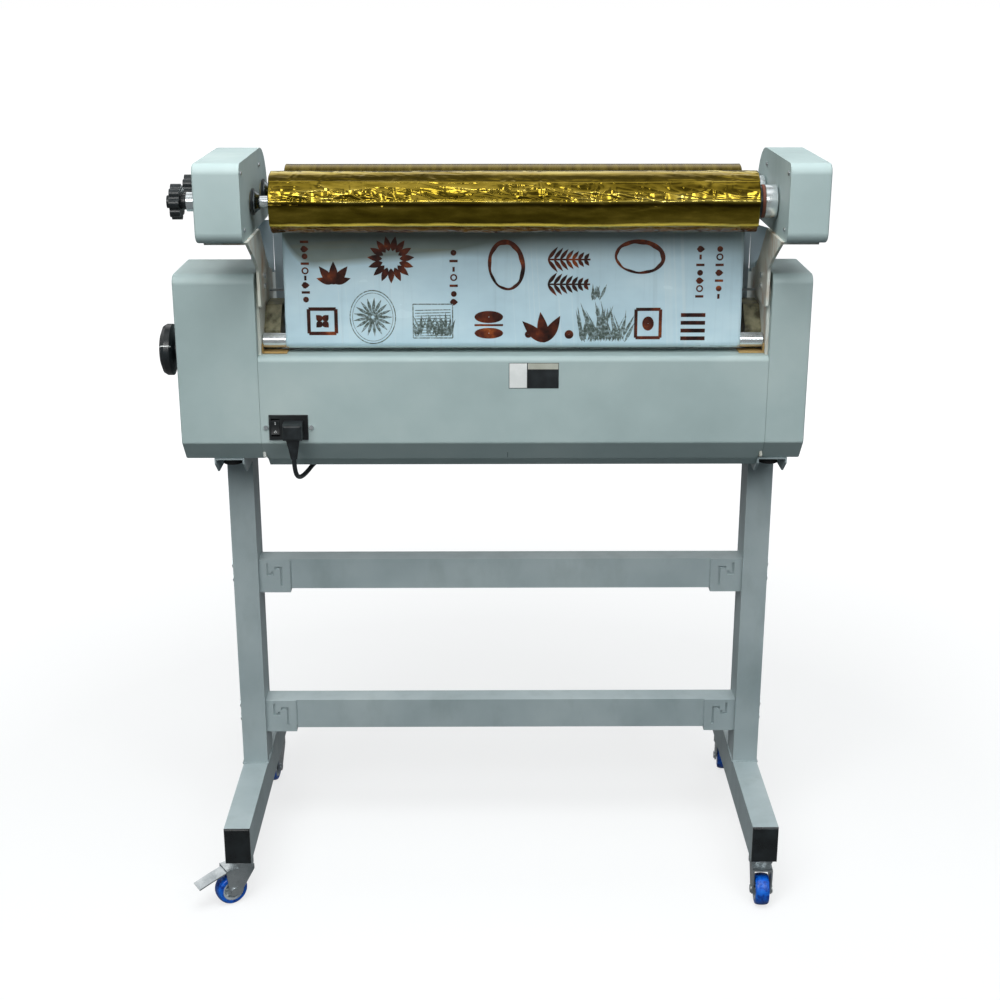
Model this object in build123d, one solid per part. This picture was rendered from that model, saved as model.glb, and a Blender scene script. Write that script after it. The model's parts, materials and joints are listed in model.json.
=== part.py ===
from build123d import *
import math
import os

# Roll-fed hot foil stamper (foil laminator) on a castered stand.
# X runs across the web, Y from the delivery side to the feed side, Z up.
# All sizes are in millimetres. The model is drawn with X = 0 at the web's middle, Y = 0 at the
# rear cover and Z = 0 on the floor, and is shifted to its reference point when it is written.

# ---- clearances ----
RUN = 0.05          # radial clearance of a shaft that turns in a bore
GAP = 0.4           # air between neighbours that do not touch
FOIL_GAP = 0.5      # foil to a turning surface
SIDES = (-1, 1)

# ---- the sizes that the others follow ----
ROLLER_HALF = 338.0         # half the rollers' face
END_ROOM = 37.0             # from a roller's face to a housing
BODY_DEPTH = 400.0
BODY_TOP = 983.0
BODY_Z = 700.0              # underside of the housings

# ---- body ----
WEB_HALF = ROLLER_HALF + END_ROOM       # from the web's middle to a housing
SHEET = 2.0
FRAME_T = 4.0
LEFT_W = 118.0
RIGHT_W = 58.0
CHAMFER_Y = 27.0
CHAMFER_Z = 31.0
SLOPE_START = BODY_DEPTH * 0.34
SLOPE_END = BODY_DEPTH - 70
SLOPE_DROP = 67.0
NIP_Z = BODY_TOP - 118                  # where the two rollers meet
SHOULDER_Z = NIP_Z - 5
BELLY_DROP = 16.0                       # the belly hangs below the housings
BELLY_Z = BODY_Z - BELLY_DROP
BELLY_Y = 45.0
BELLY_LIP = 14.0
FRONT_LIP = 40.0
COVER_TOP = NIP_Z - 3
COVER_LIP = 50.0
FRAME_Y0 = 14.0
FRAME_BACK = 15.0                       # the side frames stop short of the front face

# ---- rollers ----
ROLLER_D = 64.0
SLEEVE_T = 5.0
SHOE_T = 3.0
NIP_GAP = 0.3
ROLLER_Y = 110.0
JOURNAL_D = 20.0
JOURNAL_HOLE = JOURNAL_D / 2 + 2
LIFT = 4.0
BLOCK_W = 24.0
BLOCK_Y1 = ROLLER_Y + BLOCK_W + 2
GEAR_TEETH = 16
PINION_TEETH = 12
MODULE = 4.0
GEAR_W = 12.0
GUIDE_D = 22.0
GUIDE_Y = 35.0
GUIDE_Z = NIP_Z + 15
GUIDE_JOURNAL_D = 10.0
BUSH_WALL = 3.0

# ---- pressure gear ----
PRESS_Y = ROLLER_Y - 40
PRESS_Z = NIP_Z - 7
PRESS_D = 8.0
CAM_R = 10.0
CAM_W = 10.0
KNOB_D = 77.0
KNOB_OUT = 36.0

# ---- reels ----
REEL_SHAFT_D = 16.0
REWIND_Y = -15.0
SUPPLY_Y = 92.0
REEL_Z = BODY_TOP + 107
REWIND_D = 90.0
REWIND_HALF = ROLLER_HALF + 9
SUPPLY_D = 80.0
SUPPLY_HALF = ROLLER_HALF
CORE_OD = 46.0
CORE_BORE = 40.0
FOIL_HALF = ROLLER_HALF + 1
FOIL_T = 0.6
BOX_Y0 = REWIND_Y - 97
BOX_Y1 = SUPPLY_Y + 71
BOX_Z0 = REEL_Z - 45
BOX_H = 108.0
BOX_IN = WEB_HALF - 4
LEFT_BOX_W = 64.0
RIGHT_BOX_W = 56.0
ARM_T = 4.0
STAR_D = 50.0
STAR_T = 14.0
STAR_LOBES = 8
STAR_GAP = 33.0     # from the box to the star
REWIND_MOTOR_L = 26.0
STUB_D = 10.0       # the shaft's end inside the star
FLANGE_T = 1.5      # a bush's flange

# ---- guard and feed ----
GUARD_Y = ROLLER_Y + 67
GUARD_Z = NIP_Z + 25
GUARD_TOP = BODY_TOP + 49
GUARD_PIN_D = 8.0
TABLE_END = BODY_DEPTH + 48
TABLE_START = ROLLER_Y + 42
TABLE_T = 2.0
TABLE_RIB = 14.0

# ---- stand ----
LEG_W = 40.0
LEG_D = 60.0
LEG_LEFT_X = -(WEB_HALF + 53)
LEG_RIGHT_X = WEB_HALF + 17
LEG_Y = 150.0
TUBE_WALL = 2.0
FOOT_BACK = 246.0           # the foot's reach from the leg's middle, towards the delivery side
FOOT_FRONT = 218.0          # and towards the feed side
FOOT_H = 60.0
CAP_T = 4.0
CHANNEL_T = 2.5
CHANNEL_L = BODY_DEPTH - 50
CHANNEL_DROP = 28.0
CHANNEL_Y = BODY_DEPTH / 2
BAR_H = 50.0
BAR_D = 36.0
BAR_LOW_Z = 223.0
BAR_HIGH_Z = BODY_Z - 227.5
BRACKET_L = 50.0
BRACKET_H = 56.0
BRACKET_T = 3.0
HOOK_W = 3.5
BOLT_D = 8.0
BOLT_PITCH = 24.0
FOOT_PAD_D = 28.0
FOOT_PAD_H = 16.0

# ---- casters ----
CASTER_H = 78.0
WHEEL_D = 50.0
WHEEL_W = 22.0
HUB_D = 34.0
TRAIL = 20.0
AXLE_D = 8.0
STEM_IN = 26.0      # stem's distance from the tube's end
SWIVEL_R = 19.0
CHEEK_T = 2.5
PEDAL_PIN_D = 5.0
PEDAL_U = 26.0
PEDAL_Z = 56.0
PEDAL_L = 50.0

# ---- control board ----
BOARD_W = 124.0
BOARD_H = 104.0
BOARD_Y = BODY_DEPTH - 110
BOARD_Z = BODY_Z + 90

# ---- mains inlet ----
INLET_X0 = -(WEB_HALF - 13)
INLET_W = 58.0
INLET_Z0 = BODY_Z + 37
INLET_H = 38.0
INLET_T = 2.5
INLET_DEPTH = 30.0
INLET_STEP = 2.0    # the flange laps the cover by this
ROCKER_W = 15.0
ROCKER_H = 27.0
CONNECTOR_X = INLET_X0 + 37
LEAD_D = 7.0
TRAY_Z = BODY_Z - 50
TRAY_T = 1.2

FRAME_OUT = WEB_HALF - GAP
FRAME_IN = FRAME_OUT - FRAME_T
PLATE_IN = FRAME_IN - GAP / 2       # what stands against a side frame's inner face
ARM_IN = PLATE_IN - ARM_T
LEFT_OUT = WEB_HALF + LEFT_W
RIGHT_OUT = WEB_HALF + RIGHT_W
LOWER_Z = NIP_Z - ROLLER_D / 2
UPPER_Z = NIP_Z + NIP_GAP + ROLLER_D / 2
FOOT_TOP = CASTER_H + FOOT_H
FOOT_Y0 = LEG_Y - FOOT_BACK
FOOT_Y1 = LEG_Y + FOOT_FRONT
LEGS = (LEG_LEFT_X, LEG_RIGHT_X)
LEG_WALL = LEG_W / 2 - TUBE_WALL
BELLY_HALF = LEG_RIGHT_X - LEG_W / 2 - CHANNEL_T - GAP

made = {}


# ---- helpers ----
def block(x0, x1, y0, y1, z0, z1):
    """A box between two corners, given in any order along X."""
    size = (abs(x1 - x0), y1 - y0, z1 - z0)
    return Pos((x0 + x1) / 2, (y0 + y1) / 2, (z0 + z1) / 2) * Box(*size)


def rod_x(x0, x1, y, z, radius):
    """A round bar along X."""
    bar = Rot(0, 90, 0) * Cylinder(radius, abs(x1 - x0))
    return Pos((x0 + x1) / 2, y, z) * bar


def rod_y(x, y0, y1, z, radius):
    bar = Rot(90, 0, 0) * Cylinder(radius, abs(y1 - y0))
    return Pos(x, (y0 + y1) / 2, z) * bar


def rod_z(x, y, z0, z1, radius):
    return Pos(x, y, (z0 + z1) / 2) * Cylinder(radius, abs(z1 - z0))


def rounded(corners):
    """A closed face from (across, up, corner radius) triples."""
    edges, last, first = [], None, None
    count = len(corners)
    for i, (u, v, r) in enumerate(corners):
        here = Vector(u, v)
        start = end = here
        if r > 0:
            back = (Vector(*corners[i - 1][:2]) - here).normalized()
            on = (Vector(*corners[(i + 1) % count][:2]) - here).normalized()
            half = math.radians(back.get_angle(on)) / 2
            reach = r / math.tan(half)
            start, end = here + back * reach, here + on * reach
            centre = here + (back + on).normalized() * (r / math.sin(half))
            middle = centre + (here - centre).normalized() * r
        if last is not None and (start - last).length > 1e-6:
            edges.append(Line(last, start))
        if r > 0:
            edges.append(ThreePointArc(start, middle, end))
        first = start if first is None else first
        last = end
    if (first - last).length > 1e-6:
        edges.append(Line(last, first))
    return make_face(Curve() + edges)


def band(path, thick):
    """The cross-section of folded sheet: path is its outer side, and the sheet lies to its left."""
    inner = []
    for i, (u, v, r) in enumerate(path):
        here = Vector(u, v)
        before = (here - Vector(*path[i - 1][:2])).normalized() if i > 0 else None
        after = (Vector(*path[i + 1][:2]) - here).normalized() if i + 1 < len(path) else None
        before = before or after
        after = after or before
        left_a, left_b = Vector(-before.Y, before.X), Vector(-after.Y, after.X)
        mitre = (left_a + left_b).normalized()
        point = here + mitre * (thick / mitre.dot(left_a))
        turn = before.X * after.Y - before.Y * after.X
        bend = 0 if r == 0 else (r - thick if turn > 0 else r + thick)
        inner.append((point.X, point.Y, max(bend, 0)))
    return rounded([*path, *reversed(inner)])


def along_x(face, x0, x1):
    """Extrude a (Y, Z) face along X."""
    low, high = min(x0, x1), max(x0, x1)
    return extrude(Plane.YZ.offset(low) * face, high - low)


def turned(profile, x, y, z):
    """Spin an (along X, radius) outline about the axis along X through (y, z)."""
    face = make_face(Polyline(*profile, close=True))
    return Pos(x, y, z) * revolve(face, Axis.X)


def tube_x(x0, x1, y, z, outer, inner):
    return rod_x(x0, x1, y, z, outer) - rod_x(x0, x1, y, z, inner)


def gear(x0, x1, y, z, teeth, bore, tooth_at):
    """A spur gear along X with involute flanks, relieved for backlash. tooth_at is the angle of
    one tooth's middle in the YZ plane."""
    pitch_r = MODULE * teeth / 2
    base_r = pitch_r * math.cos(math.radians(25))
    tip_r, root_r = pitch_r + 0.8 * MODULE, pitch_r - 1.1 * MODULE

    def spread(r):
        if r <= base_r:
            return 0.0
        return math.sqrt((r / base_r) ** 2 - 1) - math.acos(base_r / r)

    half_pitch = math.pi / (2 * teeth) - 0.28 / pitch_r
    radii = [root_r, max(root_r + 0.5, base_r), pitch_r, tip_r]
    points = []
    for k in range(teeth):
        middle = math.radians(tooth_at) + 2 * math.pi * k / teeth
        sides = []
        for r in radii:
            half = half_pitch + spread(pitch_r) - spread(r)
            sides.append((r, half))
        for r, half in sides:
            points.append((r * math.cos(middle - half), r * math.sin(middle - half)))
        for r, half in reversed(sides):
            points.append((r * math.cos(middle + half), r * math.sin(middle + half)))
    face = make_face(Polyline(*points, close=True))
    wheel = Pos(0, y, z) * along_x(face, x0, x1)
    return wheel - rod_x(x0, x1, y, z, bore)


def keep(name, *shapes):
    """Hold a node's solids under its name until they are written."""
    made[name] = [solid for shape in shapes for solid in shape.solids()]


# ---- stand ----
def stand_leg(x):
    """A foot tube, an upright and a channel welded into one side of the stand."""
    half, inner = LEG_W / 2, LEG_WALL
    y0, y1 = LEG_Y - LEG_D / 2, LEG_Y + LEG_D / 2
    foot = block(x - half, x + half, FOOT_Y0, FOOT_Y1, CASTER_H, FOOT_TOP)
    foot -= block(x - inner, x + inner, FOOT_Y0, FOOT_Y1, CASTER_H + TUBE_WALL, FOOT_TOP - TUBE_WALL)
    for y in stem_places():
        foot -= rod_z(x, y, CASTER_H, CASTER_H + TUBE_WALL, BOLT_D / 2 + RUN)
    web_z = BODY_Z - CHANNEL_T
    leg = block(x - half, x + half, y0, y1, FOOT_TOP, web_z)
    leg -= block(x - inner, x + inner, y0 + TUBE_WALL, y1 - TUBE_WALL, FOOT_TOP, web_z)
    for z in bolt_heights():
        leg -= rod_x(x - half, x + half, LEG_Y, z, BOLT_D / 2 + GAP / 2)
    c0, c1 = CHANNEL_Y - CHANNEL_L / 2, CHANNEL_Y + CHANNEL_L / 2
    wide = half + CHANNEL_T
    channel = block(x - wide, x + wide, c0, c1, web_z, BODY_Z)
    low = BODY_Z - CHANNEL_DROP
    nose, slant = 6, 26
    flange = rounded([(c0, web_z, 0), (c0, web_z - nose, 0), (c0 + slant, low, 0),
                      (c1 - slant, low, 0), (c1, web_z - nose, 0), (c1, web_z, 0)])
    for side in SIDES:
        channel += along_x(flange, x + side * half, x + side * wide)
    for y in pad_places():
        channel -= rod_z(x, y, web_z, BODY_Z, FOOT_PAD_D / 2 + 1)
    return foot + leg + channel


def stem_places():
    """The casters' places along a foot."""
    return (FOOT_Y0 + STEM_IN, FOOT_Y1 - STEM_IN)


def pad_places():
    """The rubber feet's places along a channel."""
    reach = CHANNEL_L / 2 - 1.2 * FOOT_PAD_D
    return (CHANNEL_Y - reach, CHANNEL_Y + reach)


def bolt_heights():
    """Two bolts, one over the other, for each crossbar."""
    return [z + side * BOLT_PITCH / 2 for z in (BAR_LOW_Z, BAR_HIGH_Z) for side in SIDES]


def end_cap(x, y, way):
    """A tube's end cap; way is -1 or 1 for the end that it closes."""
    fit = GAP / 4
    cap = block(x - LEG_W / 2, x + LEG_W / 2, *sorted((y, y + way * CAP_T)), CASTER_H, FOOT_TOP)
    face = cap.faces().sort_by(Axis.Y)[0 if way < 0 else -1]
    cap = fillet(face.edges(), 2.5)
    inner = LEG_WALL - fit
    plug_y = sorted((y, y - way * 3.5 * CAP_T))
    return cap + block(x - inner, x + inner, plug_y[0], plug_y[1],
                       CASTER_H + TUBE_WALL + fit, FOOT_TOP - TUBE_WALL - fit)


def crossbar(z):
    """A cross tube with a hooked bracket welded on the near face at each end."""
    x0, x1 = LEG_LEFT_X + LEG_W / 2, LEG_RIGHT_X - LEG_W / 2
    y0, y1 = LEG_Y - BAR_D / 2, LEG_Y + BAR_D / 2
    low, high = z - BAR_H / 2, z + BAR_H / 2
    end_t = TUBE_WALL + 1
    bar = block(x0, x1, y0, y1, low, high)
    bar -= block(x0 + end_t, x1 - end_t, y0 + TUBE_WALL, y1 - TUBE_WALL,
                 low + TUBE_WALL, high - TUBE_WALL)
    for bolt_z in bolt_heights():
        bar -= rod_x(x0, x0 + end_t, LEG_Y, bolt_z, BOLT_D / 2)
        bar -= rod_x(x1 - end_t, x1, LEG_Y, bolt_z, BOLT_D / 2)
    for end, way in ((x0, 1), (x1, -1)):
        bar += hook_bracket(end, way, y0, z)
    return bar


def hook_bracket(end, way, y, z):
    """The bracket's plate laps the bar's end, hangs below it, and has two facing hook slots."""
    reach = end + way * BRACKET_L
    top, low = z + BAR_H / 2, z + BAR_H / 2 - BRACKET_H
    plate = block(end, reach, y - BRACKET_T, y, low, top)
    plate += block(end, reach, y - BRACKET_T, y + BAR_D * 0.6, low, z - BAR_H / 2)
    a, b, c = (end + way * BRACKET_L * share for share in (0.28, 0.5, 0.72))
    hook, tip = b - way * HOOK_W, b + way * HOOK_W / 2
    wide, stem, rise = HOOK_W / 2, 0.38 * BAR_H, 0.26 * BAR_H
    cuts = [
        (a - wide, a + wide, z - wide, z + stem),
        (a, hook, z - wide, z + wide),
        (hook - wide, hook + wide, z - wide, z + 3 * wide),
        (c - wide, c + wide, z - stem, z + rise),
        (tip, c, z + rise - HOOK_W, z + rise),
        (tip - wide, tip + wide, z + rise - 3 * wide, z + rise),
    ]
    for x0, x1, z0, z1 in cuts:
        plate -= block(x0, x1, y - BRACKET_T, y, z0, z1)
    return plate


def frame_bolt(x, way, z):
    """A hexagon bolt through the leg into the crossbar's end; way points out of the leg."""
    face, tall = x + way * LEG_W / 2, 0.66 * BOLT_D
    head = extrude(Plane.YZ * RegularPolygon(0.8 * BOLT_D, 6, major_radius=False), tall)
    head = Pos(face if way > 0 else face - tall, LEG_Y, z) * head
    return head + rod_x(face, x - way * (LEG_W / 2 + 1.75 * BOLT_D), LEG_Y, z, BOLT_D / 2)


def rubber_foot(x, y):
    return rod_z(x, y, BODY_Z - FOOT_PAD_H, BODY_Z, FOOT_PAD_D / 2)


# ---- casters ----
CASTERS = {
    # name: (x, y, direction in which the wheel trails, has a brake pedal)
    "rear_left": (LEG_LEFT_X, stem_places()[0], 212, True),
    "rear_right": (LEG_RIGHT_X, stem_places()[0], 268, False),
    "front_left": (LEG_LEFT_X, stem_places()[1], 262, False),
    "front_right": (LEG_RIGHT_X, stem_places()[1], 84, True),
}


def rod_v(u, v0, v1, z, radius):
    """A round bar along the caster's own cross axis."""
    return rod_y(u, v0, v1, z, radius)


def caster_stem(x, y):
    """The fixed swivel pin, with its washer under the tube and its thread up in it."""
    under = CASTER_H - 22
    pin = rod_z(x, y, under, CASTER_H + 2 * BOLT_D, BOLT_D / 2)
    return pin + rod_z(x, y, CASTER_H - 4, CASTER_H, SWIVEL_R - 2) + rod_z(x, y, under - 3, under, 6)


def caster_fork(braked):
    """Crown, two cheeks, the axle and, with a brake, its pin. The stem is at (0, 0)."""
    inside = WHEEL_W / 2 + 2
    outside = inside + CHEEK_T
    crown_z = CASTER_H - 14
    axle_z = WHEEL_D / 2
    crown = rod_z(0, 0, crown_z, CASTER_H - 4 - GAP, SWIVEL_R)
    crown = fillet(crown.edges().sort_by(Axis.Z)[-1:], 3)
    heel, toe, foot_z = -15, PEDAL_U + PEDAL_PIN_D, axle_z - 7
    crown += block(heel, toe, -outside, outside, crown_z - CHEEK_T, crown_z)
    cheek = rounded([(heel, crown_z, 0), (heel, crown_z - 8, 4), (TRAIL - 9, foot_z, 6),
                     (TRAIL + 8, foot_z, 6), (toe, PEDAL_Z - 6, 6), (toe, crown_z, 0)])
    plate = extrude(Plane.XZ * cheek, CHEEK_T)
    for v in (-inside, outside):
        crown += Pos(0, v, 0) * plate
    crown -= rod_z(0, 0, crown_z - CHEEK_T, CASTER_H, BOLT_D / 2 + RUN)
    crown -= rod_v(TRAIL, -outside, outside, axle_z, AXLE_D / 2)
    axle = rod_v(TRAIL, -outside - 2, outside + 2, axle_z, AXLE_D / 2)
    for v in (-outside - 2, outside):
        axle += rod_v(TRAIL, v, v + 2, axle_z, 6.5)
    parts = [crown, axle]
    if braked:
        crown -= rod_v(PEDAL_U, -outside, outside, PEDAL_Z, PEDAL_PIN_D / 2)
        parts = [crown, axle, rod_v(PEDAL_U, -outside, outside, PEDAL_Z, PEDAL_PIN_D / 2)]
    return parts


def caster_wheel():
    """A rounded tread on a hub that turns on the axle."""
    axle_z = WHEEL_D / 2
    tread = rod_v(TRAIL, -WHEEL_W / 2, WHEEL_W / 2, axle_z, WHEEL_D / 2)
    tread = fillet(tread.edges(), 4)
    tread -= rod_v(TRAIL, -WHEEL_W / 2, WHEEL_W / 2, axle_z, HUB_D / 2)
    hub = rod_v(TRAIL, -WHEEL_W / 2, WHEEL_W / 2, axle_z, HUB_D / 2)
    for side in SIDES:
        face = side * WHEEL_W / 2
        dish = rod_v(TRAIL, face, face - side * 3, axle_z, HUB_D / 2 - 3)
        hub -= dish - rod_v(TRAIL, face, face - side * 3, axle_z, 8)
    hub -= rod_v(TRAIL, -WHEEL_W / 2, WHEEL_W / 2, axle_z, AXLE_D / 2 + RUN)
    return [tread, hub]


def brake_pedal():
    """A stamped lever on its barrel, over the tread."""
    width = WHEEL_W / 2 + 1.2
    barrel = rod_v(PEDAL_U, -width, width, PEDAL_Z, 4.4)
    lever = band([(PEDAL_U, PEDAL_Z + 3.6, 0), (PEDAL_U + PEDAL_L * 0.55, PEDAL_Z - 5, 12),
                  (PEDAL_U + PEDAL_L, PEDAL_Z - 13, 0)], 2.0)
    lever = Pos(0, width, 0) * extrude(Plane.XZ * lever, 2 * width)
    pedal = barrel + lever
    pedal = pedal - rod_v(PEDAL_U, -width, width, PEDAL_Z, PEDAL_PIN_D / 2 + RUN)
    return pedal


def casters():
    for name, (x, y, heading, braked) in CASTERS.items():
        place = Pos(x, y, 0) * Rot(0, 0, heading)
        keep("caster_fork_" + name, *[place * s for s in caster_fork(braked)])
        keep("caster_wheel_" + name, *[place * s for s in caster_wheel()])
        if braked:
            keep("brake_pedal_" + name, place * brake_pedal())


# ---- body ----
def housing_outline(inset=0.0):
    """The side view of a housing, moved in by inset all round."""
    corners = [
        (CHAMFER_Y, BODY_Z, 3), (0, BODY_Z + CHAMFER_Z, 5), (0, BODY_TOP, 14),
        (SLOPE_START, BODY_TOP, 30), (SLOPE_END, BODY_TOP - SLOPE_DROP, 30),
        (BODY_DEPTH, SHOULDER_Z, 30), (BODY_DEPTH, BODY_Z + CHAMFER_Z, 5),
        (BODY_DEPTH - CHAMFER_Y, BODY_Z, 3),
    ]
    if inset == 0:
        return rounded(corners)
    moved = []
    for i, (u, v, r) in enumerate(corners):
        here = Vector(u, v)
        before = (here - Vector(*corners[i - 1][:2])).normalized()
        after = (Vector(*corners[(i + 1) % len(corners)][:2]) - here).normalized()
        right_a, right_b = Vector(before.Y, -before.X), Vector(after.Y, -after.X)
        mitre = (right_a + right_b).normalized()
        point = here + mitre * (inset / mitre.dot(right_a))
        moved.append((point.X, point.Y, max(r - inset, 1)))
    return rounded(moved)


def slope_z(y):
    """The housing's height at a place along its slope."""
    return BODY_TOP - SLOPE_DROP * (y - SLOPE_START) / (SLOPE_END - SLOPE_START)


def slope_plane(x, share):
    """A plane on the housing's slope: local X across, local Y up the slope, Z out of it."""
    run, drop = SLOPE_END - SLOPE_START, SLOPE_DROP
    y, z = SLOPE_START + run * share, BODY_TOP - drop * share
    return Plane(origin=(x, y, z), x_dir=(1, 0, 0), z_dir=(0, drop, run))


def housing(side, width):
    """A closed sheet housing with rounded outer edges and a wall towards the web."""
    inner, outer = side * WEB_HALF, side * (WEB_HALF + width)
    body = along_x(housing_outline(), inner, outer)
    rim = body.faces().sort_by(Axis.X)[0 if side < 0 else -1]
    body = fillet(rim.edges(), 2.5)
    cavity = along_x(housing_outline(SHEET), inner + side * SHEET, outer - side * SHEET)
    body -= cavity
    wall = (inner, inner + side * SHEET)
    for z in (LOWER_Z, UPPER_Z + LIFT / 2):
        body -= rod_x(*wall, ROLLER_Y, z, JOURNAL_HOLE + LIFT / 2)
    body -= rod_x(*wall, PRESS_Y, PRESS_Z, PRESS_D / 2 + GAP)
    body -= rod_x(*wall, GUARD_Y, GUARD_Z, GUARD_PIN_D / 2 + GAP)
    return body


KEY_W = 15.0
KEY_H = 10.0
KEY_OUT = 2.5
KEY_TRAVEL = 1.5
KEYS = {"run_key": -24.0, "up_key": 0.0, "down_key": 24.0}
PANEL_X = -(WEB_HALF + LEFT_W / 2)
DISPLAY_W = 78.0
DISPLAY_H = 34.0
DISPLAY_SHARE = 0.35
KEY_SHARE = 0.68


def left_housing():
    body = housing(-1, LEFT_W)
    outer = -LEFT_OUT
    body -= rod_x(outer, outer + SHEET, PRESS_Y, PRESS_Z, PRESS_D / 2 + GAP)
    for post in motor_posts():
        body -= rod_x(-WEB_HALF - SHEET, -WEB_HALF, *post, 5)
    for post in board_posts():
        body -= rod_x(-WEB_HALF - SHEET, -WEB_HALF, *post, 4)
    window = slope_plane(PANEL_X, DISPLAY_SHARE)
    body -= window * Box(DISPLAY_W, DISPLAY_H, 4 * SHEET)
    for x in KEYS.values():
        hole = slope_plane(PANEL_X + x, KEY_SHARE)
        body -= hole * Box(KEY_W + 2 * GAP, KEY_H + 2 * GAP, 4 * SHEET)
    return body


def display_window():
    """A dark lens flush in the slope with a flange behind the sheet."""
    place = slope_plane(PANEL_X, DISPLAY_SHARE)
    lens = Pos(0, 0, -SHEET / 2 + 0.4) * Box(DISPLAY_W, DISPLAY_H, SHEET + 0.8)
    back = Pos(0, 0, -SHEET - 4) * Box(DISPLAY_W + 8, DISPLAY_H + 8, 8)
    return place * (lens + back)


def panel_key(x):
    """A push key with its retaining flange under the sheet."""
    place = slope_plane(PANEL_X + x, KEY_SHARE)
    under = -SHEET - GAP
    cap = Pos(0, 0, (KEY_OUT + under) / 2) * Box(KEY_W, KEY_H, KEY_OUT - under)
    cap = fillet(cap.faces().sort_by(Axis.Z)[-1].edges(), 0.8)
    flange = Pos(0, 0, under - 1) * Box(KEY_W + 4, KEY_H + 4, 2)
    return place * (cap + flange)


def cover_section():
    """The rear cover's side view: belly lip, chamfer, face and rounded top with its lip."""
    return band([(COVER_LIP, COVER_TOP, 0), (0, COVER_TOP, 8), (0, BODY_Z + CHAMFER_Z, 6),
                 (CHAMFER_Y - 2, BODY_Z, 4), (BELLY_Y, BELLY_Z, 4),
                 (BELLY_Y + BELLY_LIP, BELLY_Z, 0)], SHEET)


def trimmed(cover, y0, y1):
    """A cover cut back beside the side frames, and beside the stand's channels under the housings."""
    for side in SIDES:
        cover -= block(side * PLATE_IN, side * WEB_HALF, y0, y1, BODY_Z - 1, BODY_TOP)
        cover -= block(side * BELLY_HALF, side * WEB_HALF, -1, BODY_DEPTH + 1,
                       BELLY_Z - 1, BODY_Z + GAP)
    return cover


def rear_cover():
    half = WEB_HALF - GAP
    cover = trimmed(along_x(cover_section(), -half, half), FRAME_Y0 - GAP, BELLY_Y + 20)
    fit = INLET_STEP - GAP / 2
    cover -= block(INLET_X0 + fit, INLET_X0 + INLET_W - fit, -1, SHEET + 1,
                   INLET_Z0 + fit, INLET_Z0 + INLET_H - fit)
    for x in inlet_screws():
        cover -= rod_y(x, -1, SHEET + 1, INLET_Z0 + INLET_H / 2, 1.5)
    return cover


def inlet_screws():
    return (INLET_X0 - 4.6, INLET_X0 + INLET_W + 4.6)


def base_pan():
    """The belly tray, with an upright flange against each side frame."""
    y0, y1 = BELLY_Y + BELLY_LIP + GAP, BODY_DEPTH - BELLY_Y - BELLY_LIP - GAP
    low, high = BELLY_HALF, PLATE_IN
    pan = block(-low, low, y0, y1, BELLY_Z, BELLY_Z + SHEET)
    for side in SIDES:
        pan += block(side * (low - SHEET), side * low, y0, y1, BELLY_Z, BODY_Z + 3)
        pan += block(side * (low - SHEET), side * high, y0, y1, BODY_Z + 1, BODY_Z + 3)
        pan += block(side * (high - SHEET), side * high, y0, y1, BODY_Z + 1, BODY_Z + 40)
    pan += block(-low, low, y1 - SHEET, y1, BELLY_Z, BODY_Z + 20)
    return pan


def front_cover():
    half = WEB_HALF - GAP
    start = BODY_DEPTH - BELLY_Y - BELLY_LIP
    path = [(start, BELLY_Z, 0), (BODY_DEPTH - BELLY_Y, BELLY_Z, 4),
            (BODY_DEPTH - CHAMFER_Y, BODY_Z, 4), (BODY_DEPTH, BODY_Z + CHAMFER_Z, 6),
            (BODY_DEPTH, NIP_Z - TABLE_T, 5), (BODY_DEPTH - FRONT_LIP, NIP_Z - TABLE_T, 0)]
    return trimmed(along_x(band(path, SHEET), -half, half), start - 1, BODY_DEPTH - FRAME_BACK + 1)


def side_frame(side):
    x0, x1 = side * FRAME_IN, side * FRAME_OUT
    top, low, back = BODY_TOP - SHEET, BODY_Z + 2 * SHEET, BODY_DEPTH - FRAME_BACK
    bend, knee = SLOPE_START + 35, SLOPE_START + 104
    plate = along_x(rounded([
        (FRAME_Y0, low, 3), (FRAME_Y0, top - 26, 12), (FRAME_Y0 + 16, top, 10),
        (SLOPE_START - 28, top, 14), (bend, slope_z(bend) - 10, 30), (knee, slope_z(knee) - 8, 20),
        (back, SHOULDER_Z + 2, 12), (back, low + 30, 6), (back - 15, low, 3),
    ]), x0, x1)
    plate -= rod_x(x0, x1, ROLLER_Y, LOWER_Z, JOURNAL_HOLE)
    slot = JOURNAL_HOLE
    plate -= rod_x(x0, x1, ROLLER_Y, UPPER_Z, slot) + rod_x(x0, x1, ROLLER_Y, UPPER_Z + LIFT, slot)
    plate -= block(x0, x1, ROLLER_Y - slot, ROLLER_Y + slot, UPPER_Z, UPPER_Z + LIFT)
    plate -= rod_x(x0, x1, PRESS_Y, PRESS_Z, PRESS_D / 2 + RUN)
    plate -= rod_x(x0, x1, GUIDE_Y, GUIDE_Z, GUIDE_JOURNAL_D / 2 + RUN + BUSH_WALL)
    plate -= rod_x(x0, x1, GUARD_Y, GUARD_Z, GUARD_PIN_D / 2 + RUN)
    return plate


def feed_table():
    """A flat table with a rolled front edge, between the side frames."""
    half = PLATE_IN
    z0 = NIP_Z - TABLE_T
    table = band([(TABLE_END, NIP_Z - 22, 0), (TABLE_END, NIP_Z, 6), (TABLE_START, NIP_Z, 0)], TABLE_T)
    table = along_x(table, -half, half)
    for side in SIDES:
        table += block(side * (half - TABLE_T), side * half, BODY_DEPTH - 100, TABLE_END - TABLE_T,
                       z0 - TABLE_RIB, z0)
    for side in SIDES:
        table -= block(side * (half - 3 * TABLE_T), side * half, BODY_DEPTH - FRONT_LIP - 1,
                       BODY_DEPTH, z0 - TABLE_RIB - 1, z0)
    return table


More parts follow.
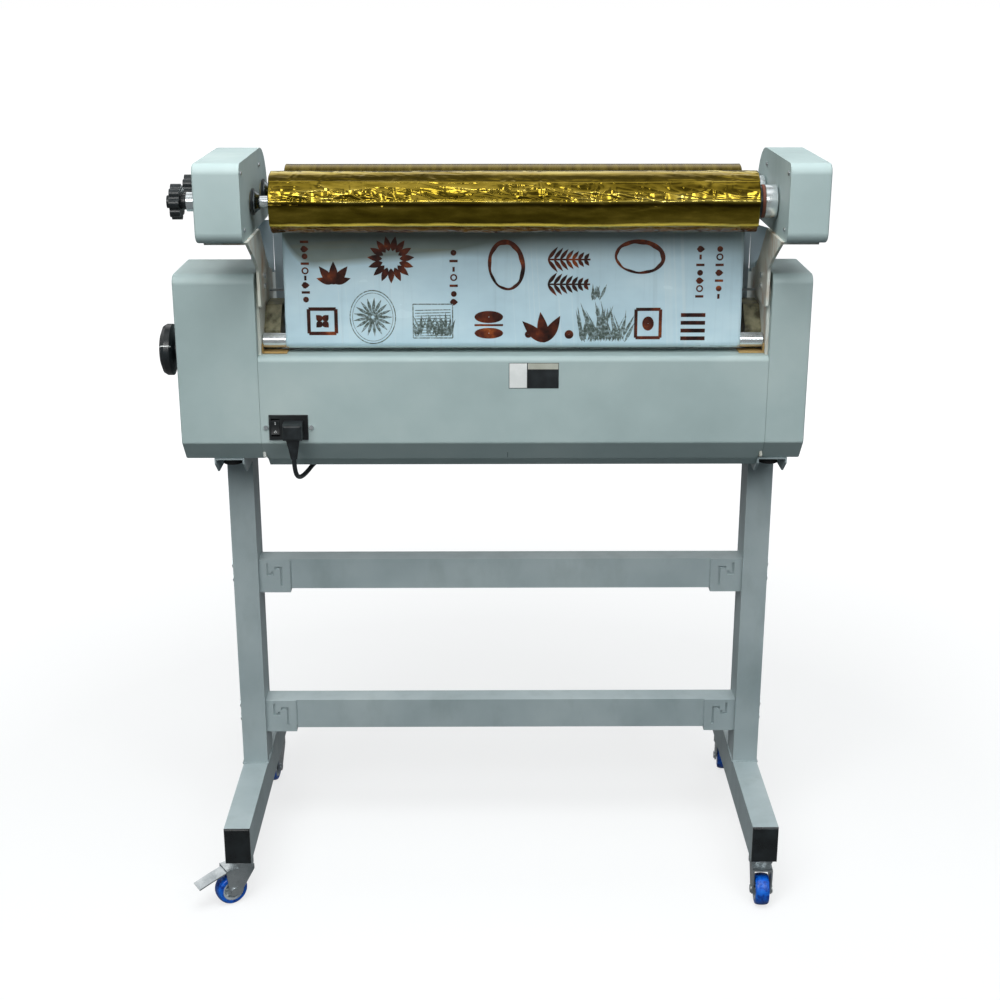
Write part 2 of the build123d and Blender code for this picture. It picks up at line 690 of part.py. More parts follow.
# ---- bearings and rollers ----
def bearing_blocks():
    """The fixed lower blocks, the guide roller's bushes and the reel shafts' bushes."""
    parts = []
    for side in SIDES:
        x1 = side * PLATE_IN
        x0 = x1 - side * BLOCK_W
        lower = block(x0, x1, ROLLER_Y - BLOCK_W, BLOCK_Y1, LOWER_Z - ROLLER_D / 2 - 1, NIP_Z - LIFT)
        lower = fillet(lower.edges().filter_by(Axis.X), 3)
        parts.append(lower - rod_x(x0, x1, ROLLER_Y, LOWER_Z, JOURNAL_D / 2 + RUN))
        parts.append(tube_x(side * FRAME_IN, side * FRAME_OUT, GUIDE_Y, GUIDE_Z,
                            GUIDE_JOURNAL_D / 2 + RUN + BUSH_WALL, GUIDE_JOURNAL_D / 2 + RUN))
        for y in (REWIND_Y, SUPPLY_Y):
            parts.append(reel_bush(side, BOX_IN, y, side))
    for y in (REWIND_Y, SUPPLY_Y):
        parts.append(reel_bush(-1, BOX_IN + LEFT_BOX_W, y, 1))
    return parts


def reel_bush(side, wall, y, inward):
    """A flanged bush in a box's wall; inward is the way its body points."""
    x = side * wall
    bore = REEL_SHAFT_D / 2 + RUN
    body = rod_x(x, x + inward * 12, y, REEL_Z, bore + BUSH_WALL)
    flange = rod_x(x, x - inward * FLANGE_T, y, REEL_Z, bore + 2 * BUSH_WALL)
    return body + flange - rod_x(x - inward * 2, x + inward * 13, y, REEL_Z, bore)


def pressure_carriage():
    """The two sliding blocks that carry the upper roller, each resting over its cam."""
    parts = []
    for side in SIDES:
        x1 = side * PLATE_IN
        x0 = x1 - side * BLOCK_W
        foot, top = PRESS_Z + CAM_R + GAP, UPPER_Z + BLOCK_W + 2
        upper = along_x(rounded([
            (PRESS_Y - 1.5 * CAM_R, foot, 1), (PRESS_Y - 1.5 * CAM_R, UPPER_Z - 6, 3),
            (ROLLER_Y - BLOCK_W, top, 8), (BLOCK_Y1, top, 3),
            (BLOCK_Y1, UPPER_Z - BLOCK_W, 3), (PRESS_Y + 2 * CAM_R, foot, 1)]), x0, x1)
        parts.append(upper - rod_x(x0, x1, ROLLER_Y, UPPER_Z, JOURNAL_D / 2 + RUN))
    return parts


def sleeve(z):
    return tube_x(-ROLLER_HALF, ROLLER_HALF, ROLLER_Y, z, ROLLER_D / 2, ROLLER_D / 2 - SLEEVE_T)


def core_and_gear(z, tooth_at):
    """A steel core with journals at both ends, and its gear keyed on the left journal."""
    core = rod_x(-ROLLER_HALF, ROLLER_HALF, ROLLER_Y, z, ROLLER_D / 2 - SLEEVE_T)
    core += rod_x(GEAR_X - GEAR_W - 4, FRAME_OUT + 8, ROLLER_Y, z, JOURNAL_D / 2)
    wheel = gear(GEAR_X, GEAR_X - GEAR_W, ROLLER_Y, z, GEAR_TEETH, JOURNAL_D / 2, tooth_at)
    return core, wheel


PINION_AT = -45.0
PINION_DISTANCE = MODULE * (GEAR_TEETH + PINION_TEETH) / 2 + NIP_GAP
PINION_Y = ROLLER_Y + PINION_DISTANCE * math.cos(math.radians(PINION_AT))
PINION_Z = LOWER_Z + PINION_DISTANCE * math.sin(math.radians(PINION_AT))
GEAR_X = -(WEB_HALF + SHEET + 14)
MOTOR_D = 60.0
MOTOR_X1 = GEAR_X - GEAR_W - 6
MOTOR_X0 = -(LEFT_OUT - SHEET - 6)
PINION_SHAFT_D = 8.0


def motor_posts():
    reach = MOTOR_D / 2 + 8
    return [(PINION_Y + reach * math.cos(a), PINION_Z + reach * math.sin(a))
            for a in (math.radians(d) for d in (-80, 20, 215))]


def drive_motors():
    """The roller gearmotor on its plate and posts, and the rewind motor in the right reel box."""
    motor = rod_x(MOTOR_X0, MOTOR_X1, PINION_Y, PINION_Z, MOTOR_D / 2)
    motor = fillet(motor.edges(), 2)
    plate = along_x(rounded([(PINION_Y - 44, PINION_Z - 42, 6), (PINION_Y - 44, PINION_Z + 14, 6),
                             (PINION_Y + 46, PINION_Z + 26, 6), (PINION_Y + 46, PINION_Z - 42, 6)]),
                    MOTOR_X1, MOTOR_X1 - 3)
    motor += plate
    motor -= rod_x(MOTOR_X1, MOTOR_X1 - 6, PINION_Y, PINION_Z, PINION_SHAFT_D / 2 + 2)
    for y, z in motor_posts():
        motor += rod_x(MOTOR_X1, -FRAME_OUT, y, z, 4)
    x1 = BOX_IN + RIGHT_BOX_W - SHEET
    rewind = rod_x(x1 - REWIND_MOTOR_L, x1, REWIND_Y, REEL_Z, 18)
    return motor, rewind


def motor_pinion():
    wheel = gear(GEAR_X, GEAR_X - GEAR_W, PINION_Y, PINION_Z, PINION_TEETH, PINION_SHAFT_D / 4, 0)
    return wheel + rod_x(MOTOR_X1 - 5, GEAR_X, PINION_Y, PINION_Z, PINION_SHAFT_D / 2)


def heater_shoes():
    """Curved heating shoes over the upper roller and under the lower one."""
    parts = []
    for z, way, inner in ((UPPER_Z, 1, ROLLER_D / 2 + LIFT + 4), (LOWER_Z, -1, ROLLER_D / 2 + 4)):
        ring = tube_x(-ROLLER_HALF, ROLLER_HALF, ROLLER_Y, z, inner + SHOE_T, inner)
        low, high = sorted((z + way * inner * 0.84, z + way * (inner + 4 * SHOE_T)))
        shoe = ring & block(-ROLLER_HALF, ROLLER_HALF, ROLLER_Y - 2 * inner, ROLLER_Y + 2 * inner,
                            low, high)
        tab_z = sorted((z + way * (inner + 1), z + way * (inner + SHOE_T)))
        for side in SIDES:
            shoe += block(side * (ROLLER_HALF - 6), side * PLATE_IN, ROLLER_Y + 2, ROLLER_Y + 12,
                          *tab_z)
        parts.append(shoe)
    return parts


def board_posts():
    """The circuit board's four posts."""
    return [(BOARD_Y + a * (BOARD_W / 2 - 8), BOARD_Z + b * (BOARD_H / 2 - 8))
            for a in SIDES for b in SIDES]


def circuit_board():
    """The control board on its posts, with a transformer, two capacitors and a terminal row."""
    x, back = -(FRAME_OUT + 14), -(FRAME_OUT + 14) - 1.6
    y, z = BOARD_Y, BOARD_Z
    board = block(back, x, y - BOARD_W / 2, y + BOARD_W / 2, z - BOARD_H / 2, z + BOARD_H / 2)
    for post in board_posts():
        board += rod_x(x, -FRAME_OUT, *post, 3)
    board += block(back - 32, back, y - 50, y, z - 34, z + 10)
    for along in (15, 35):
        board += rod_x(back - 24, back, y + along, z - 20, 8)
    board += block(back - 10, back, y + 10, y + 50, z + 6, z + 30)
    return board


def guide_roller():
    half = FRAME_IN - 1.5
    roller = rod_x(-half, half, GUIDE_Y, GUIDE_Z, GUIDE_D / 2)
    roller = fillet(roller.edges(), 0.8)
    return roller + rod_x(-FRAME_OUT, FRAME_OUT, GUIDE_Y, GUIDE_Z, GUIDE_JOURNAL_D / 2)


# ---- pressure gear ----
def cam(x0, x1):
    """A disc cam whose radius grows evenly over its half turn of use."""
    steps = 24
    points = []
    for k in range(steps + 1):
        share = k / steps
        angle = math.pi / 2 - math.pi * share
        r = CAM_R + (LIFT - 0.1) * share
        points.append((r * math.cos(angle), r * math.sin(angle)))
    rise = Spline(*points)
    close = ThreePointArc(Vector(*points[-1]), Vector(-CAM_R * 1.02, -CAM_R * 0.2), Vector(*points[0]))
    face = make_face(Curve() + [rise, close])
    return Pos(0, PRESS_Y, PRESS_Z) * along_x(face, x0, x1)


def pressure_shaft():
    shaft = rod_x(-(LEFT_OUT + KNOB_OUT - 8), FRAME_OUT, PRESS_Y, PRESS_Z, PRESS_D / 2)
    for side in SIDES:
        x1 = side * (PLATE_IN - 2)
        shaft += cam(x1, x1 - side * CAM_W)
    return shaft


def pressure_knob():
    """A domed hand disc with a hub towards the housing."""
    x = -LEFT_OUT
    r = KNOB_D / 2
    start, out = 1.0, KNOB_OUT
    profile = [(-start, PRESS_D / 2), (-start, 17), (-12, 17), (-15, r - 6), (-17, r), (-25, r),
               (-30, r - 3), (-33.5, r - 12), (-out, r - 26), (-out, 0), (-out + 8, 0),
               (-out + 8, PRESS_D / 2)]
    return turned(profile, x, PRESS_Y, PRESS_Z)


# ---- reels ----
def reel_box(side, width):
    inner, outer = side * BOX_IN, side * (BOX_IN + width)
    top = BOX_Z0 + BOX_H
    corners = [(BOX_Y0, BOX_Z0, 15), (BOX_Y0, top, 14), (BOX_Y1, top, 69), (BOX_Y1, BOX_Z0, 14)]
    box = along_x(rounded(corners), inner, outer)
    rim = box.faces().sort_by(Axis.X)[0 if side < 0 else -1]
    box = fillet(rim.edges(), 3)
    s = SHEET
    inside = [(BOX_Y0 + s, BOX_Z0 + s, 13), (BOX_Y0 + s, top - s, 12), (BOX_Y1 - s, top - s, 67),
              (BOX_Y1 - s, BOX_Z0 + s, 12)]
    box -= along_x(rounded(inside), inner + side * s, outer - side * s)
    bore = REEL_SHAFT_D / 2 + RUN + BUSH_WALL
    for y in (REWIND_Y, SUPPLY_Y):
        box -= rod_x(inner, inner + side * s, y, REEL_Z, bore)
        if side < 0:
            box -= rod_x(outer, outer - side * s, y, REEL_Z, bore)
    return box


def reel_arm(side):
    """A bent plate: its neck laps the side frame, and its shelf carries the reel box."""
    z1 = BOX_Z0
    low, wide = BODY_TOP - 49, ROLLER_Y - 4
    neck = along_x(rounded([
        (6, low, 4), (2, BODY_TOP + 7, 10), (-26, BODY_TOP + 26, 10), (BOX_Y0 + 17, z1, 0),
        (30, z1, 0), (79, BODY_TOP + 16, 40), (wide, BODY_TOP - 3, 4), (wide, low, 4)]),
        side * ARM_IN, side * PLATE_IN)
    shelf_out = side * (BOX_IN + (LEFT_BOX_W if side < 0 else RIGHT_BOX_W) - 2 * ARM_T)
    return neck + block(side * ARM_IN, shelf_out, BOX_Y0 + 22, 30, z1 - ARM_T, z1)


def reel_shaft(y):
    """A through shaft with a stub at its left end for the star knob."""
    left = -(BOX_IN + LEFT_BOX_W)
    right = BOX_IN + RIGHT_BOX_W - SHEET - REWIND_MOTOR_L - 1
    shaft = rod_x(left - 8, right, y, REEL_Z, REEL_SHAFT_D / 2)
    shaft += rod_x(left - 8, left - STAR_GAP + 8, y, REEL_Z, 13.5)
    return shaft + rod_x(left - STAR_GAP + 8, left - STAR_GAP - STAR_T - 3, y, REEL_Z, STUB_D / 2)


def star_knob(y):
    """A lobed hand knob on the shaft's stub."""
    left = -(BOX_IN + LEFT_BOX_W) - STAR_GAP
    disc = rod_x(left, left - STAR_T, y, REEL_Z, STAR_D / 2 - 4)
    for k in range(STAR_LOBES):
        a = 2 * math.pi * k / STAR_LOBES
        r = STAR_D / 2 - 7
        disc += rod_x(left, left - STAR_T, y + r * math.cos(a), REEL_Z + r * math.sin(a), 7)
    disc += rod_x(left, left + 7, y, REEL_Z, 11)
    disc += rod_x(left - STAR_T, left - STAR_T - 6, y, REEL_Z, 9)
    return disc - rod_x(left + 8, left - STAR_T - 3.5, y, REEL_Z, STUB_D / 2 + RUN)


def foil_roll(y, radius, half):
    """The wound foil on its paper core."""
    foil = tube_x(-half, half, y, REEL_Z, radius, CORE_OD / 2)
    core = tube_x(-half, half, y, REEL_Z, CORE_OD / 2, CORE_BORE / 2)
    return foil, core


def chucks(y, half):
    """The left flanged chuck and the right drive cup, each plugged into the core."""
    bore = REEL_SHAFT_D / 2
    plug, room = CORE_BORE / 2, BOX_IN - 1.5 - half - GAP
    left = [(-half + 26, bore), (-half + 26, plug - 2), (-half + 24, plug), (-half, plug), (-half, 25),
            (-half - 4, 25), (-half - 6, 18), (-half - room, 12), (-half - room, bore)]
    right = [(half - 26, bore), (half - 26, plug - 2), (half - 24, plug), (half, plug), (half, 23.5),
             (half + room, 23.5), (half + room, bore)]
    return turned(left, 0, y, REEL_Z), turned(right, 0, y, REEL_Z)


def arc_points(centre, radius, start, end, steps):
    """Points on an arc in the YZ plane, angles in degrees."""
    cy, cz = centre
    turn = [math.radians(start + (end - start) * k / steps) for k in range(steps + 1)]
    return [(cy + radius * math.cos(a), cz + radius * math.sin(a)) for a in turn]


def tangent(low, r_low, high, r_high, crossed):
    """For the line that touches two circles, the direction between their middles and the angle
    that the line is turned from it, in degrees. A crossed line passes between the circles."""
    dy, dz = high[0] - low[0], high[1] - low[1]
    reach = math.hypot(dy, dz)
    swing = (r_low + r_high) if crossed else (r_low - r_high)
    return math.degrees(math.atan2(dz, dy)), math.degrees(math.asin(swing / reach))


def foil_band(points):
    """A web of foil whose middle follows points."""
    left, right = [], []
    for i, (y, z) in enumerate(points):
        a = points[max(i - 1, 0)]
        b = points[min(i + 1, len(points) - 1)]
        long = math.hypot(b[0] - a[0], b[1] - a[1])
        ny, nz = -(b[1] - a[1]) / long * FOIL_T / 2, (b[0] - a[0]) / long * FOIL_T / 2
        left.append((y + ny, z + nz))
        right.append((y - ny, z - nz))
    face = make_face(Polyline(*left, *reversed(right), close=True))
    return along_x(face, -FOIL_HALF, FOIL_HALF)


def waste_path():
    """From the nip under the guide roller and up behind the rewind roll."""
    guide, roll = (GUIDE_Y, GUIDE_Z), (REWIND_Y, REEL_Z)
    r_low = GUIDE_D / 2 + FOIL_GAP + FOIL_T / 2
    r_high = REWIND_D / 2 + FOIL_GAP + FOIL_T / 2
    line, swing = tangent(guide, r_low, roll, r_high, True)
    up = line - swing + 90
    top = arc_points(roll, r_high, up - 180, up - 180, 1)[:1]
    nip = (ROLLER_Y - 9, NIP_Z + NIP_GAP / 2)
    return [nip, *arc_points(guide, r_low, 272, up, 10), *top]


def supply_path():
    """From the supply roll down the upper roller's feed side to the nip."""
    roller, roll = (ROLLER_Y, UPPER_Z), (SUPPLY_Y, REEL_Z)
    r_low = ROLLER_D / 2 + FOIL_GAP + FOIL_T / 2
    r_high = SUPPLY_D / 2 + FOIL_GAP + FOIL_T / 2
    line, swing = tangent(roller, r_low, roll, r_high, False)
    side = line - 90 + swing
    top = arc_points(roll, r_high, side, side, 1)[:1]
    return [*top, *arc_points(roller, r_low, side, -72, 12)]


# ---- guard ----
def guard():
    """A hinged panel with a curled top and a stud at each end."""
    half = FRAME_IN - 4.5
    lean = 10.0
    panel = band([(GUARD_Y + 1, GUARD_Z - 14, 0), (GUARD_Y - lean, GUARD_TOP, 7),
                  (GUARD_Y - lean + 12, GUARD_TOP, 0)][::-1], SHEET)
    panel = along_x(panel, -half, half)
    pin_z = (GUARD_Z - 6, GUARD_Z + 6)
    for side in SIDES:
        panel += block(side * (half - 12), side * half, GUARD_Y - 4, GUARD_Y + 8, *pin_z)
        panel += rod_x(side * (half - 12), side * FRAME_OUT, GUARD_Y, GUARD_Z, GUARD_PIN_D / 2)
    return panel


# ---- mains inlet, lead and its tray ----
ROCKER_Y = -2.0
ROCKER_Z = INLET_Z0 + INLET_H / 2
ROCKER_X = INLET_X0 + INLET_STEP + ROCKER_W / 2


def power_inlet():
    """A snap-in inlet module with a rocker well and a three-pin socket."""
    x0, x1, z0, z1 = INLET_X0, INLET_X0 + INLET_W, INLET_Z0, INLET_Z0 + INLET_H
    flange = block(x0, x1, -INLET_T, 0, z0, z1)
    flange = fillet(flange.faces().sort_by(Axis.Y)[0].edges(), 0.8)
    body = block(x0 + INLET_STEP, x1 - INLET_STEP, 0, INLET_DEPTH, z0 + INLET_STEP, z1 - INLET_STEP)
    module = flange + body
    well_x, well_z = ROCKER_W / 2 - 1, ROCKER_H / 2
    module -= block(ROCKER_X - well_x, ROCKER_X + well_x, -INLET_T - 1, 12,
                    ROCKER_Z - well_z, ROCKER_Z + well_z)
    sx, sz = 13.5, 10.5
    module -= block(CONNECTOR_X - sx, CONNECTOR_X + sx, -INLET_T - 1, 16,
                    ROCKER_Z - sz, ROCKER_Z + sz)
    module += rod_x(ROCKER_X - well_x, ROCKER_X + well_x, 6, ROCKER_Z, 1.5)
    return module


def rocker_switch():
    """A rocker on its pin, rest position tipped to one side."""
    wide, tall = ROCKER_W / 2 - 1.5, ROCKER_H / 2 - 2.6
    face = rounded([(8, -6, 1), (8, 6, 1), (-1, tall, 1), (-3, tall, 0.8), (-1.4, 0, 30),
                    (-5, -tall, 0.8), (-3, -tall, 1)])
    rocker = Pos(0, 0, ROCKER_Z) * along_x(face, ROCKER_X - wide, ROCKER_X + wide)
    return rocker - rod_x(ROCKER_X - wide, ROCKER_X + wide, 6, ROCKER_Z, 1.5 + RUN)


BOOT_Y = -17.0
BOOT_Z = BODY_Z + 12


def inlet_connector():
    """A right-angled socket connector with a tapered boot that points down."""
    x, z = CONNECTOR_X, ROCKER_Z
    head = block(x - 12.8, x + 12.8, -6, 14, z - 9.8, z + 9.8)
    body = block(x - 14, x + 14, -31, -INLET_T - GAP, z - 13, z + 11)
    body = fillet(body.faces().sort_by(Axis.Y)[0].edges(), 4)
    neck = Pos(x, BOOT_Y, 0) * loft([
        Pos(0, 0, z - 12) * Rectangle(20, 18), Pos(0, 0, BOOT_Z) * Circle(LEAD_D / 2 + 1.5)])
    return head + body + neck


COIL_X = CONNECTOR_X + 103
COIL_Y = BODY_DEPTH - 122
COIL_R = 51.0           # to the middle of the outer turn
COIL_H = 15.0           # two layers of turns
COIL_W = 26.0
LEAD_Z = BODY_Z - 45    # the lower layer's middle

# The lead's route from the boot, back under the belly and into the tray.
LEAD_ROUTE = [
    (CONNECTOR_X, BOOT_Y, BOOT_Z), (CONNECTOR_X, BOOT_Y + 2, BOOT_Z - 14),
    (CONNECTOR_X + 1, -2, BODY_Z - 19), (CONNECTOR_X + 4, 22, BODY_Z - 29),
    (CONNECTOR_X + 9, 56, BODY_Z - 32), (CONNECTOR_X + 17, 100, BODY_Z - 29),
    (CONNECTOR_X + 29, 146, BODY_Z - 32), (CONNECTOR_X + 44, COIL_Y - 88, BODY_Z - 36),
    (CONNECTOR_X + 69, COIL_Y - 60, BODY_Z - 42), (COIL_X, COIL_Y - COIL_R, LEAD_Z),
]
PLUG_X = COIL_X + 110
PLUG_Y = COIL_Y + 4
PLUG_Z = LEAD_Z + 8.5
PIN_D = 4.8
PIN_PITCH = 19.0
TAIL_ROUTE = [
    (COIL_X + 45, COIL_Y - 22, LEAD_Z + LEAD_D), (COIL_X + 54, COIL_Y - 6, LEAD_Z + LEAD_D),
    (COIL_X + 76, COIL_Y + 3, LEAD_Z + LEAD_D), (PLUG_X, PLUG_Y, PLUG_Z - 2.5),
]
TRAY_X0 = COIL_X - 78
TRAY_X1 = COIL_X + 182
TRAY_Y0 = COIL_Y - 66
TRAY_Y1 = COIL_Y + 60


def tube_along(points, diameter):
    """A tube on straight runs joined by arcs as large as the runs allow."""
    path = [Vector(*p) for p in points]
    radii = []
    for a, b, c in zip(path, path[1:], path[2:]):
        turn = math.radians((b - a).get_angle(c - b))
        short = min((b - a).length, (c - b).length)
        radii.append(0.45 * short / math.tan(turn / 2))
    line = FilletPolyline(*path, radius=radii)
    start = Plane(origin=path[0], z_dir=path[1] - path[0])
    return sweep(start * Circle(diameter / 2), path=line)


def lead_coil():
    """The spare lead's turns, as one ring lying in the tray."""
    wide = COIL_R + LEAD_D / 2
    low = LEAD_Z - LEAD_D / 2
    ring = rod_z(COIL_X, COIL_Y, low, low + COIL_H, wide)
    ring -= rod_z(COIL_X, COIL_Y, low, low + COIL_H, wide - COIL_W)
    return fillet(ring.edges(), LEAD_D / 2)


def mains_plug():
    """A moulded plug with a tapered boot and two round pins, lying in the tray."""
    body = block(PLUG_X + 16, PLUG_X + 48, PLUG_Y - 16, PLUG_Y + 16, PLUG_Z - 12, PLUG_Z + 12)
    body = fillet(body.edges().filter_by(Axis.X), 7)
    boot = Pos(0, PLUG_Y, 0) * loft([
        Plane(origin=(PLUG_X + 16, 0, PLUG_Z), z_dir=(1, 0, 0)) * Circle(8),
        Plane(origin=(PLUG_X, 0, PLUG_Z - 3), z_dir=(1, 0, 0)) * Circle(LEAD_D / 2 + 1)])
    plug = body + boot
    for side in SIDES:
        plug += rod_x(PLUG_X + 48, PLUG_X + 67, PLUG_Y + side * PIN_PITCH / 2, PLUG_Z, PIN_D / 2)
    return plug


def lead_tray():
    """A folded tray that hangs under the belly and holds the spare lead."""
    floor = TRAY_Z + TRAY_T
    tray = block(TRAY_X0, TRAY_X1, TRAY_Y0, TRAY_Y1, TRAY_Z, floor)
    tray += block(TRAY_X0, TRAY_X1, TRAY_Y1 - TRAY_T, TRAY_Y1, TRAY_Z, BELLY_Z)
    tray += block(TRAY_X0, TRAY_X1, TRAY_Y0, TRAY_Y0 + TRAY_T, TRAY_Z, floor + 0.8)
    tray += block(TRAY_X1 - TRAY_T, TRAY_X1, TRAY_Y0, TRAY_Y1, TRAY_Z, BELLY_Z)
    return tray


def screws():
    """The screws that show: two at the inlet and two on each arm."""
    parts = []
    z = INLET_Z0 + INLET_H / 2
    for x in inlet_screws():
        parts.append(rod_y(x, -2.2, 0, z, 3.4) + rod_y(x, 0, 6, z, 1.5))
    for side in SIDES:
        for drop in (9, 25):
            parts.append(rod_x(side * ARM_IN, side * (ARM_IN - 2.4), 48, BODY_TOP - drop, 4))
    return parts


# ---- write ----
def build_all():
    keep("stand_legs", *[stand_leg(x) for x in LEGS])
    caps = [end_cap(x, y, way) for x in LEGS for y, way in ((FOOT_Y0, -1), (FOOT_Y1, 1))]
    keep("foot_end_caps", *caps)
    keep("crossbars", crossbar(BAR_HIGH_Z), crossbar(BAR_LOW_Z))
    keep("frame_bolts", *[frame_bolt(x, way, z) for x, way in zip(LEGS, SIDES) for z in bolt_heights()])
    keep("rubber_feet", *[rubber_foot(x, y) for x in LEGS for y in pad_places()])
    keep("caster_stems", *[caster_stem(x, y) for x in LEGS for y in stem_places()])
    casters()
    keep("base_pan", base_pan())
    keep("side_frames", *[side_frame(s) for s in SIDES])
    keep("left_housing", left_housing())
    keep("right_housing", housing(1, RIGHT_W))
    keep("rear_cover", rear_cover())
    keep("front_cover", front_cover())
    keep("display_window", display_window())
    for name, x in KEYS.items():
        keep(name, panel_key(x))
    keep("feed_table", feed_table())
    keep("reel_arms", *[reel_arm(s) for s in SIDES])
    keep("reel_boxes", reel_box(-1, LEFT_BOX_W), reel_box(1, RIGHT_BOX_W))
    keep("bearing_blocks", *bearing_blocks())
    keep("pressure_carriage", *pressure_carriage())
    keep("lower_roller", sleeve(LOWER_Z))
    keep("lower_roller_shaft", *core_and_gear(LOWER_Z, 90))
    keep("upper_roller", sleeve(UPPER_Z))
    keep("upper_roller_shaft", *core_and_gear(UPPER_Z, -90 + 180 / GEAR_TEETH))
    keep("drive_motors", *drive_motors())
    keep("motor_pinion", motor_pinion())
    keep("heater_shoes", *heater_shoes())
    keep("circuit_board", circuit_board())
    keep("guide_roller", guide_roller())
    keep("pressure_shaft", pressure_shaft())
    keep("pressure_knob", pressure_knob())
    keep("guard", guard())
    for name, y, radius, half in (("rewind", REWIND_Y, REWIND_D / 2, REWIND_HALF),
                                  ("supply", SUPPLY_Y, SUPPLY_D / 2, SUPPLY_HALF)):
        keep(name + "_shaft", reel_shaft(y))
        keep(name + "_roll", *foil_roll(y, radius, half))
        keep(name + "_chucks", *chucks(y, half))
        keep(name + "_star_knob", star_knob(y))
    keep("foil_web", foil_band(waste_path()), foil_band(supply_path()))
    keep("power_inlet", power_inlet())
    keep("rocker_switch", rocker_switch())
    keep("cover_screws", *screws())
    keep("lead_tray", lead_tray())
    keep("inlet_connector", inlet_connector())
    keep("mains_lead", tube_along(LEAD_ROUTE, LEAD_D), tube_along(TAIL_ROUTE, LEAD_D))
    keep("lead_coil", lead_coil())
    keep("mains_plug", mains_plug())


CORD_NODES = ("inlet_connector", "mains_lead", "lead_coil", "mains_plug")


def reference_point():
    """The middle of the object's footprint at floor level, without the lead."""
    solids = [s for name, parts in made.items() if name not in CORD_NODES for s in parts]
    boxes = [s.bounding_box() for s in solids]
    x0, x1 = min(b.min.X for b in boxes), max(b.max.X for b in boxes)
    y0, y1 = min(b.min.Y for b in boxes), max(b.max.Y for b in boxes)
    return (x0 + x1) / 2, (y0 + y1) / 2, min(b.min.Z for b in boxes)


build_all()
ORIGIN = reference_point()
os.makedirs("parts", exist_ok=True)
SHIFT = Pos(-ORIGIN[0], -ORIGIN[1], -ORIGIN[2])
for node, parts in made.items():
    placed = [SHIFT * s for s in parts]
    export_step(placed[0] if len(placed) == 1 else Compound(children=placed), f"parts/{node}.step")
print("nodes", len(made), "origin", [round(v, 3) for v in ORIGIN])
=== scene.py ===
"""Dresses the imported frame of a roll-fed hot foil stamper: materials, reels of foil, film, casters,
small fittings, the mains lead, and the studio around them. All lengths are in metres."""

import json
import math
import random

import bmesh
import bpy
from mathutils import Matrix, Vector, noise


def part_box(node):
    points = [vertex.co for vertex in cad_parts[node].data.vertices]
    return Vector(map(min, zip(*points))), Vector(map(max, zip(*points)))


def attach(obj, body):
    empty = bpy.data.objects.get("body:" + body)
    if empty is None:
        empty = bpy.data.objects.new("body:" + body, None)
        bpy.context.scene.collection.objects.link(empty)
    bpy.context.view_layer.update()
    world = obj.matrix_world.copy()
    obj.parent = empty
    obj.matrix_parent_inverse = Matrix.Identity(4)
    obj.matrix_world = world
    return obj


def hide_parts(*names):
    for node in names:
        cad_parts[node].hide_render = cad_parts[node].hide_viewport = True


bl_info = {
    "name": "Hot Foil Stamper",
    "version": (1, 0, 0),
    "blender": (4, 5, 0),
    "location": "3D View > Sidebar > Stamper",
    "description": "Builds the looks of a roll-fed hot foil stamper around its solid frame",
    "category": "Object",
}

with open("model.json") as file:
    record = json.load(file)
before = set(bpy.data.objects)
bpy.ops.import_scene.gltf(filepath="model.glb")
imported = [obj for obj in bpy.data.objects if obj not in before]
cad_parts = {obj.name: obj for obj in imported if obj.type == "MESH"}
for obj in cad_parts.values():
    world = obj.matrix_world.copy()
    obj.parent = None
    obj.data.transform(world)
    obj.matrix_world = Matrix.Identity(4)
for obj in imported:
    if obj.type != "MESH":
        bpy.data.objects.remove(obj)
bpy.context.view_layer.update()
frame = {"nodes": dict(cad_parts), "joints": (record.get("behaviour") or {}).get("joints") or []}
MM = 0.001
ROLL_INSET = 5 * MM   # how much shorter the drawn foil is than its solid, at each end
FILM_INSET = 4 * MM
FILM_GAP = 0.8 * MM   # between a film and what it runs round


# ---- places read from the frame ----
def middle(node):
    low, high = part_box(node)
    return (low + high) / 2


def half_size(node, axis):
    """Half of a solid's box along x, y or z: a radius, or half a width."""
    low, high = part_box(node)
    return (getattr(high, axis) - getattr(low, axis)) / 2


def joint_place(name):
    """Where a joint is and which way its axis points."""
    joint = next(j for j in frame["joints"] if j["name"] == name)
    return Vector(joint.get("pos_m", (0, 0, 0))), Vector(joint["axis"]).normalized()


WEB_X = middle("rear_cover").x
COVER_LOW, COVER_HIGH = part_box("rear_cover")
GUIDE, GUIDE_R = middle("guide_roller"), half_size("guide_roller", "z")
REELS = {name: (middle(name + "_roll"), half_size(name + "_roll", "z"), half_size(name + "_roll", "x") - ROLL_INSET)
         for name in ("rewind", "supply")}
UPPER_ROLLER, UPPER_R = middle("upper_roller"), half_size("upper_roller", "z")
NIP_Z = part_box("upper_roller")[0].z
FILM_HALF = half_size("foil_web", "x") - FILM_INSET
FRAME_IN = half_size("feed_table", "x")
CORE_R, CORE_BORE, SHAFT_R = 23 * MM, 20 * MM, 8 * MM
X_AXIS, Y_AXIS = Vector((1, 0, 0)), Vector((0, 1, 0))


# ---- colour and nodes ----
def srgb(code):
    """The linear colour of an sRGB hex value."""
    parts = [int(code[i:i + 2], 16) / 255 for i in (1, 3, 5)]
    return [c / 12.92 if c <= 0.04045 else ((c + 0.055) / 1.055) ** 2.4 for c in parts] + [1.0]


def connect(tree, node, feeds):
    """Give each of a node's inputs a value or another node's output."""
    for socket, value in feeds.items():
        if isinstance(value, bpy.types.NodeSocket):
            tree.links.new(value, node.inputs[socket])
        else:
            node.inputs[socket].default_value = value


